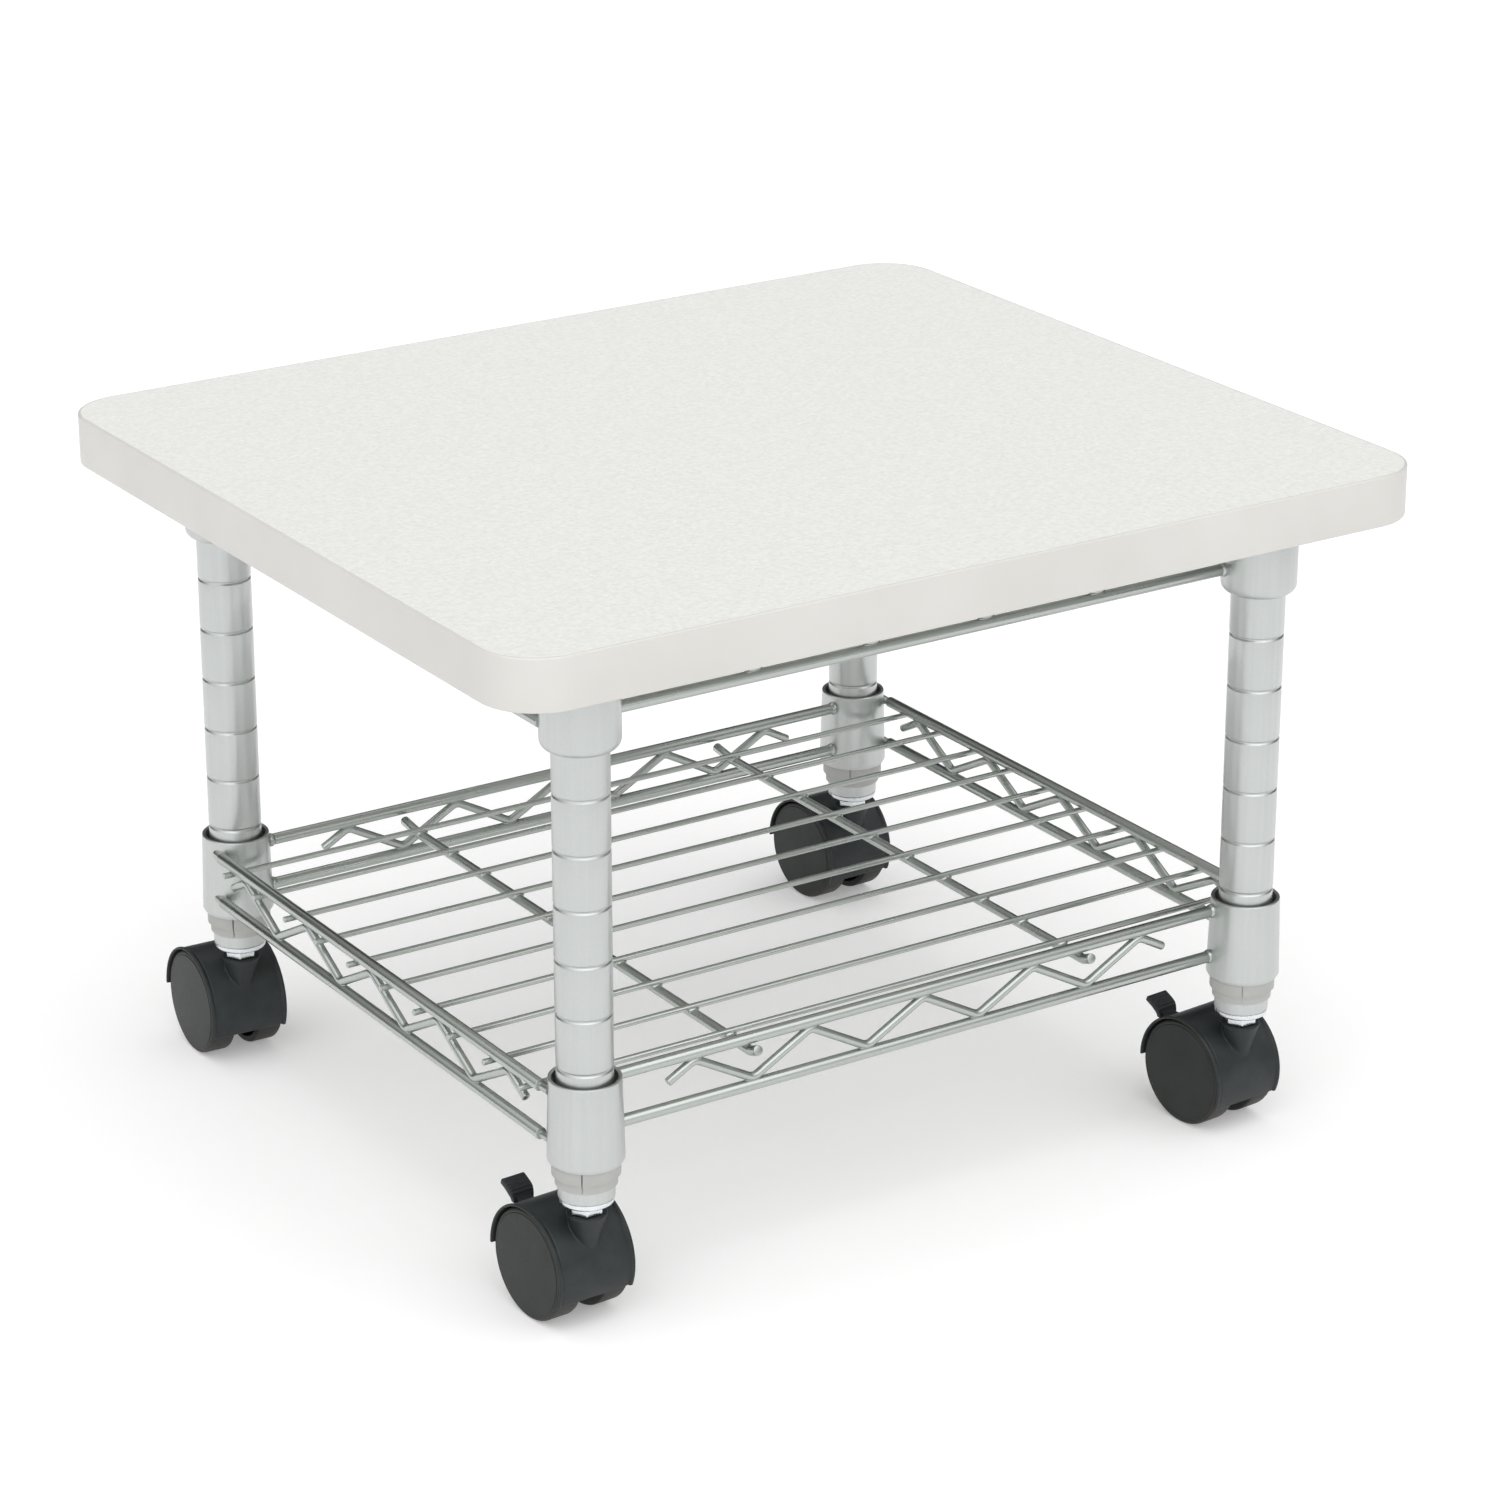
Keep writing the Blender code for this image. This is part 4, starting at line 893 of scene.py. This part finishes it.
def half_round_web():
    """The web between the wheels, from the axle out to the shell."""
    web = bmesh.new()
    rod_across(web, HUB_WEB_RADIUS, WEB_HALF_WIDTH)
    rim_foot = WEB_RIM - 0.0003
    spun(web, [(rim_foot, -WEB_HALF_WIDTH), (WEB_RIM, -WEB_HALF_WIDTH), (WEB_RIM, WEB_HALF_WIDTH),
               (rim_foot, WEB_HALF_WIDTH)], (0, 0, 0), 40, (1, 0, 0), (0, 1, 0), HOOD_SWEEP)
    hull_of(web)
    return web


def tapered_boss():
    """The boss round the stem's pin, cut back to clear the wheels."""
    boss = bmesh.new()
    tip = [(BOSS_TIP_RADIUS * math.cos(math.radians(a)),
            BOSS_TOP - BOSS_HEIGHT + BOSS_TIP_RADIUS * (0.55 - 0.55 * math.sin(math.radians(a))))
           for a in (0, 30, 60)]
    spun(boss, [(0, BOSS_TOP), (BOSS_RADIUS - 0.0005, BOSS_TOP),
                (BOSS_RADIUS, BOSS_TOP - 0.0005)] + tip
         + [(0, BOSS_TOP - BOSS_HEIGHT)], (0, -CASTER_TRAIL, 0), 64)
    close_up(boss)
    rooms = []
    for side in (-1, 1):
        room = bmesh.new()
        middle = side * (WEB_HALF_WIDTH + HOOD_HALF_WIDTH + ROOM_PAST_RIM) / 2
        rod_across(room, HOOD_INNER, (HOOD_HALF_WIDTH + ROOM_PAST_RIM - WEB_HALF_WIDTH) / 2,
                   (middle, 0, 0), 96)
        rooms.append(room)
    return cut_away(boss, rooms)


def beaded_shell():
    """The rims' beads stand proud of the shell, with a fine groove inside each."""
    skin = HOOD_OUTER - BEAD_PROUD
    half = [(HOOD_INNER, 0.0192), (HOOD_INNER + 0.0004, 0.0203), (HOOD_OUTER - 0.0004, 0.0203),
            (HOOD_OUTER, 0.0199), (HOOD_OUTER, 0.0187), (HOOD_OUTER - 0.0003, 0.0183),
            (skin - 0.0004, 0.0180), (skin - 0.0004, 0.0176), (skin, 0.0172)]
    shell = bmesh.new()
    spun(shell, half + [(radius, -rise) for radius, rise in reversed(half)],
         (0, 0, 0), 90, (1, 0, 0), (0, 1, 0), HOOD_SWEEP)
    close_up(shell)
    return shell


def joined(parts):
    """Puts several bmeshes in one."""
    whole = bmesh.new()
    for part in parts:
        mesh = bpy.data.meshes.new("part")
        part.to_mesh(mesh)
        part.free()
        whole.from_mesh(mesh)
        bpy.data.meshes.remove(mesh)
    return whole


def moulded(shape, voxel, passes):
    """Fuses overlapping solids into one moulded skin and softens it."""
    solid = as_solid("moulding", shape)
    fuse = solid.modifiers.new("fuse", "REMESH")
    fuse.mode = "VOXEL"
    fuse.voxel_size = voxel
    shape = settled(solid)
    for _ in range(passes):
        bmesh.ops.smooth_vert(shape, verts=shape.verts, factor=0.5, use_axis_x=True,
                              use_axis_y=True, use_axis_z=True)
    bmesh.ops.recalc_face_normals(shape, faces=shape.faces)
    return shape


def about_axle(joint_name):
    """Takes coordinates about the axle (X along it, Y to the rear) to their place."""
    joint = next(each for each in frame["joints"] if each["name"] == joint_name)
    along = Vector(joint["axis"]).normalized()
    rear = Vector((0, 0, 1)).cross(along)
    turn = Matrix((along, rear, (0, 0, 1))).transposed().to_4x4()
    return Matrix.Translation(joint["pos_m"]) @ turn


HOOD = textured_nylon("hood_nylon", (0.018, 0.022, 0.0225), (0.028, 0.0325, 0.0340), 0.46, 2200,
                      0.00009)
BRAKED = ("front_left", "front_right")
for place in POST_PLACES:
    hood = joined([half_round_web(), tapered_boss(), beaded_shell()])
    hood = moulded(hood, HOOD_VOXEL, 2)
    hollows = []
    socket = bmesh.new()
    bmesh.ops.create_cone(socket, cap_ends=True, segments=32, radius1=SOCKET_RADIUS,
                          radius2=SOCKET_RADIUS, depth=SOCKET_DEPTH,
                          matrix=Matrix.Translation((0, -CASTER_TRAIL, BOSS_TOP + 0.0015)))
    hollows.append(socket)
    if place in BRAKED:
        slot_room = bmesh.new()
        rod_across(slot_room, SLOT_PIVOT_RADIUS, SLOT_HALF_WIDTH, LEVER_PIVOT, 40)
        for angle in SLOT_ANGLES:
            rod_across(slot_room, 0.0004, SLOT_HALF_WIDTH,
                       (0, SLOT_REACH * math.cos(math.radians(angle)),
                        SLOT_REACH * math.sin(math.radians(angle))), 8)
        hull_of(slot_room)
        hollows.append(slot_room)
        pin_holes = bmesh.new()
        rod_across(pin_holes, PIN_HOLE_RADIUS, PIN_HOLE_HALF_LENGTH, LEVER_PIVOT, 24)
        hollows.append(pin_holes)
    hood = cut_away(hood, hollows)
    bmesh.ops.transform(hood, matrix=about_axle(f"spin_{place}_left"), verts=hood.verts)
    finished(f"hood_{place}", hood, HOOD, f"caster_{place}",
             [f"caster_hood_{place}"], 55)


# ---- The wheels and axles ------------------------------------------------------------
# Each wheel is a moulded nylon drum with a slightly domed disc and a softer,
# rounded tread, painted lighter and warmer than the disc as a painted highlight
# along its shoulder; both turn on one steel pin through the hood's web.

DISC_RADIUS = 0.0237
DISC_SAG = 0.0005
SHOULDER = 0.0019
WHEEL_FACE = 0.0200
WHEEL_INNER = 0.0066
DRUM_INNER_RADIUS = 0.0230
DISC_BACK = 0.0172
HUB_RADIUS = 0.0055
HUB_BORE = 0.0028
BORE_END = 0.0163


def wheel_profile():
    """(radius, distance from the caster's middle), from the disc's centre outwards."""
    points = [(DISC_RADIUS * share / 8, WHEEL_FACE - 0.0001 - DISC_SAG * (share / 8) ** 2)
              for share in range(9)]
    points += [(DISC_RADIUS + 0.0003, WHEEL_FACE - 0.0009), (DISC_RADIUS + 0.0005, WHEEL_FACE - 0.0009)]
    for step in range(1, 10):
        angle = math.radians(90 - 10 * step)
        points.append((WHEEL_RADIUS - SHOULDER + SHOULDER * math.cos(angle),
                       WHEEL_FACE - 0.0008 - SHOULDER + SHOULDER * math.sin(angle)))
    points += [(WHEEL_RADIUS, WHEEL_INNER + 0.0010), (WHEEL_RADIUS - 0.0003, WHEEL_INNER + 0.0003),
               (WHEEL_RADIUS - 0.0010, WHEEL_INNER), (DRUM_INNER_RADIUS, WHEEL_INNER),
               (DRUM_INNER_RADIUS, DISC_BACK), (HUB_RADIUS, DISC_BACK), (HUB_RADIUS, WHEEL_INNER),
               (HUB_BORE, WHEEL_INNER), (HUB_BORE, BORE_END), (0, BORE_END)]
    return points


def ground_steel():
    finish, tree, shader, place = new_finish("axle_steel", 0.3, 1.0)
    raise_bump(tree, shader, noise(tree, place, 1800, 3), 0.2, 0.00004)
    two_tone(tree, shader, noise(tree, place, 200, 3), (0.50, 0.50, 0.51), (0.62, 0.62, 0.63))
    return finish


DISC = textured_nylon("wheel_nylon", (0.0115, 0.0155, 0.0135), (0.0165, 0.0205, 0.018), 0.42, 1600,
                      0.00006)
# The tread is the wheels' black nylon painted lighter and warmer: a painted highlight for the light band
# on its rounded shoulder.
TREAD_PAINTED_HIGHLIGHT = textured_nylon("tread", (0.020, 0.020, 0.017), (0.032, 0.030, 0.025), 0.5, 1300,
                       0.00008)
AXLE_STEEL = ground_steel()
for place in POST_PLACES:
    for side, sign in (("left", -1), ("right", 1)):
        wheel = bmesh.new()
        spun(wheel, [(radius, sign * rise) for radius, rise in wheel_profile()], (0, 0, 0), 112,
             (1, 0, 0), (0, 1, 0))
        close_up(wheel)
        # Faces past the disc's edge, the shoulder and the tread, take the lighter tread colour, which is
        # a painted highlight.
        for face in wheel.faces:
            centre = face.calc_center_median()
            radius = math.hypot(centre.y, centre.z)
            face.material_index = int(radius > DISC_RADIUS + 0.0006)
        bmesh.ops.transform(wheel, matrix=about_axle(f"spin_{place}_{side}"), verts=wheel.verts)
        finished(f"wheel_{place}_{side}_drum", wheel, (DISC, TREAD_PAINTED_HIGHLIGHT), f"wheel_{place}_{side}",
                 [f"caster_wheel_{place}_{side}"], 35)
    frame["nodes"][f"caster_axle_{place}"].data.materials[0] = AXLE_STEEL


# ---- The brake levers ----------------------------------------------------------------
# A moulded foot lever hangs on two trunnions in the hood's slot; its tab stands up
# and leans back, with grip ridges across it.

LEVER_HALF_WIDTH = 0.0032
TAB_HALF_WIDTH = 0.0062
LEVER_THICKNESS = 0.0028
TAB_STEPS = 26
RIDGES = (0.36, 0.50, 0.64, 0.78, 0.91)
RIDGE_RADIUS = 0.0005
ARM_REACH = 0.0146
ARM_RADIUS = 0.0030
TRUNNION_RADIUS = 0.0015
LEVER_VOXEL = 0.00026


def tab_path(share):
    """The tab's middle line about the lever's pivot: it rises, then leans to the rear."""
    guides = ((ARM_REACH, -0.0008), (ARM_REACH, 0.0038), (0.0170, 0.0046), (0.0230, 0.0072))
    rest = 1 - share
    weights = (rest ** 3, 3 * rest ** 2 * share, 3 * rest * share ** 2, share ** 3)
    return Vector((0, sum(w * guide[0] for w, guide in zip(weights, guides)),
                   sum(w * guide[1] for w, guide in zip(weights, guides))))


def foot_tab():
    """A slab bent along the tab's path, a little narrower at its base."""
    slab = bmesh.new()
    bmesh.ops.create_cube(slab, size=1.0)
    long_edges = [edge for edge in slab.edges
                  if abs(edge.verts[0].co.y - edge.verts[1].co.y) > 0.5]
    bmesh.ops.subdivide_edges(slab, edges=long_edges, cuts=TAB_STEPS, use_grid_fill=True)
    for vert in slab.verts:
        share = vert.co.y + 0.5
        here = tab_path(share)
        heading = (tab_path(share + 0.01) - tab_path(share - 0.01)).normalized()
        up = Vector((1, 0, 0)).cross(heading)
        width = 2 * TAB_HALF_WIDTH * (0.84 + 0.16 * min(1.0, share * 2.2))
        vert.co = here + up * (vert.co.z * LEVER_THICKNESS) + Vector((vert.co.x * width, 0, 0))
    close_up(slab)
    ease_edges(slab, 0.0005, 2, 60)
    return slab


def ridge(share):
    """One grip bar across the tab, half sunk in its upper face."""
    heading = (tab_path(share + 0.01) - tab_path(share - 0.01)).normalized()
    up = Vector((1, 0, 0)).cross(heading)
    bar = bmesh.new()
    rod_across(bar, RIDGE_RADIUS, TAB_HALF_WIDTH - 0.0009, tab_path(share)
               + up * LEVER_THICKNESS / 2, 12)
    return bar


for place in BRAKED:
    arm = bmesh.new()
    rod_across(arm, ARM_RADIUS, LEVER_HALF_WIDTH, (0, 0, 0), 32)
    rod_across(arm, LEVER_THICKNESS / 2, LEVER_HALF_WIDTH, (0, ARM_REACH, 0), 16)
    hull_of(arm)
    pins = bmesh.new()
    rod_across(pins, TRUNNION_RADIUS, WEB_HALF_WIDTH, (0, 0, 0), 24)
    lever = joined([arm, pins, foot_tab()] + [ridge(share) for share in RIDGES])
    lever = moulded(lever, LEVER_VOXEL, 2)
    bmesh.ops.translate(lever, vec=LEVER_PIVOT, verts=lever.verts)
    bmesh.ops.transform(lever, matrix=about_axle(f"spin_{place}_left"), verts=lever.verts)
    finished(f"lever_{place}", lever, HOOD, f"brake_{place}",
             [f"brake_lever_{place}"], 55)


# ---- The studio ----------------------------------------------------------------------
# A wide pale floor, lit a little from within like a light table, under soft light
# that is brightest in front and above.

FLOOR_HALF = 12.0
FLOOR_GLOW = 0.245


def pale_floor():
    finish, tree, shader, place = new_finish("pale_floor", 0.9)
    drift = noise(tree, place, 3, 2)
    two_tone(tree, shader, drift, (0.79, 0.79, 0.79), (0.81, 0.81, 0.81))
    shader.inputs["Emission Color"].default_value = (1.0, 1.0, 1.0, 1.0)
    shader.inputs["Emission Strength"].default_value = FLOOR_GLOW
    shader.inputs["Specular IOR Level"].default_value = 0.0
    return finish


ground = bmesh.new()
bmesh.ops.create_grid(ground, x_segments=1, y_segments=1, size=FLOOR_HALF)
floor_mesh = bpy.data.meshes.new("studio_floor")
ground.to_mesh(floor_mesh)
ground.free()
floor_mesh.materials.append(pale_floor())
floor = bpy.data.objects.new("studio_floor", floor_mesh)
bpy.context.scene.collection.objects.link(floor)

world = bpy.data.worlds.new("studio_light")
world.use_nodes = True
bpy.context.scene.world = world
tree = world.node_tree
direction = tree.nodes.new("ShaderNodeTexCoord").outputs["Generated"]
facing = tree.nodes.new("ShaderNodeVectorMath")
facing.operation = "DOT_PRODUCT"
facing.inputs[1].default_value = Vector((-0.30, -0.42, 0.86)).normalized()
tree.links.new(direction, facing.inputs[0])
level = spread(tree, facing.outputs["Value"], 0.0, 0.85, 0.03, 1.40)
sky = tree.nodes["Background"]
tree.links.new(level, sky.inputs["Strength"])
sky.inputs["Color"].default_value = (1.0, 1.0, 1.0, 1.0)

lamp = bpy.data.lights.new("soft_key", "SUN")
lamp.energy = 0.70
lamp.angle = math.radians(80)
key = bpy.data.objects.new("soft_key", lamp)
key.rotation_euler = Vector((0.02, -0.42, 0.90)).to_track_quat("Z", "Y").to_euler()
bpy.context.scene.collection.objects.link(key)

lens = bpy.data.cameras.new("main_camera")
lens.lens = 111.42
lens.sensor_width = 36
lens.clip_end = 60
camera = bpy.data.objects.new("main_camera", lens)
camera.location = (-1.11084, -1.72689, 0.98235)
camera.rotation_euler = (math.radians(68.62), 0, math.radians(-32.99))
bpy.context.scene.collection.objects.link(camera)
bpy.context.scene.camera = camera
bpy.context.scene.view_settings.view_transform = "Standard"
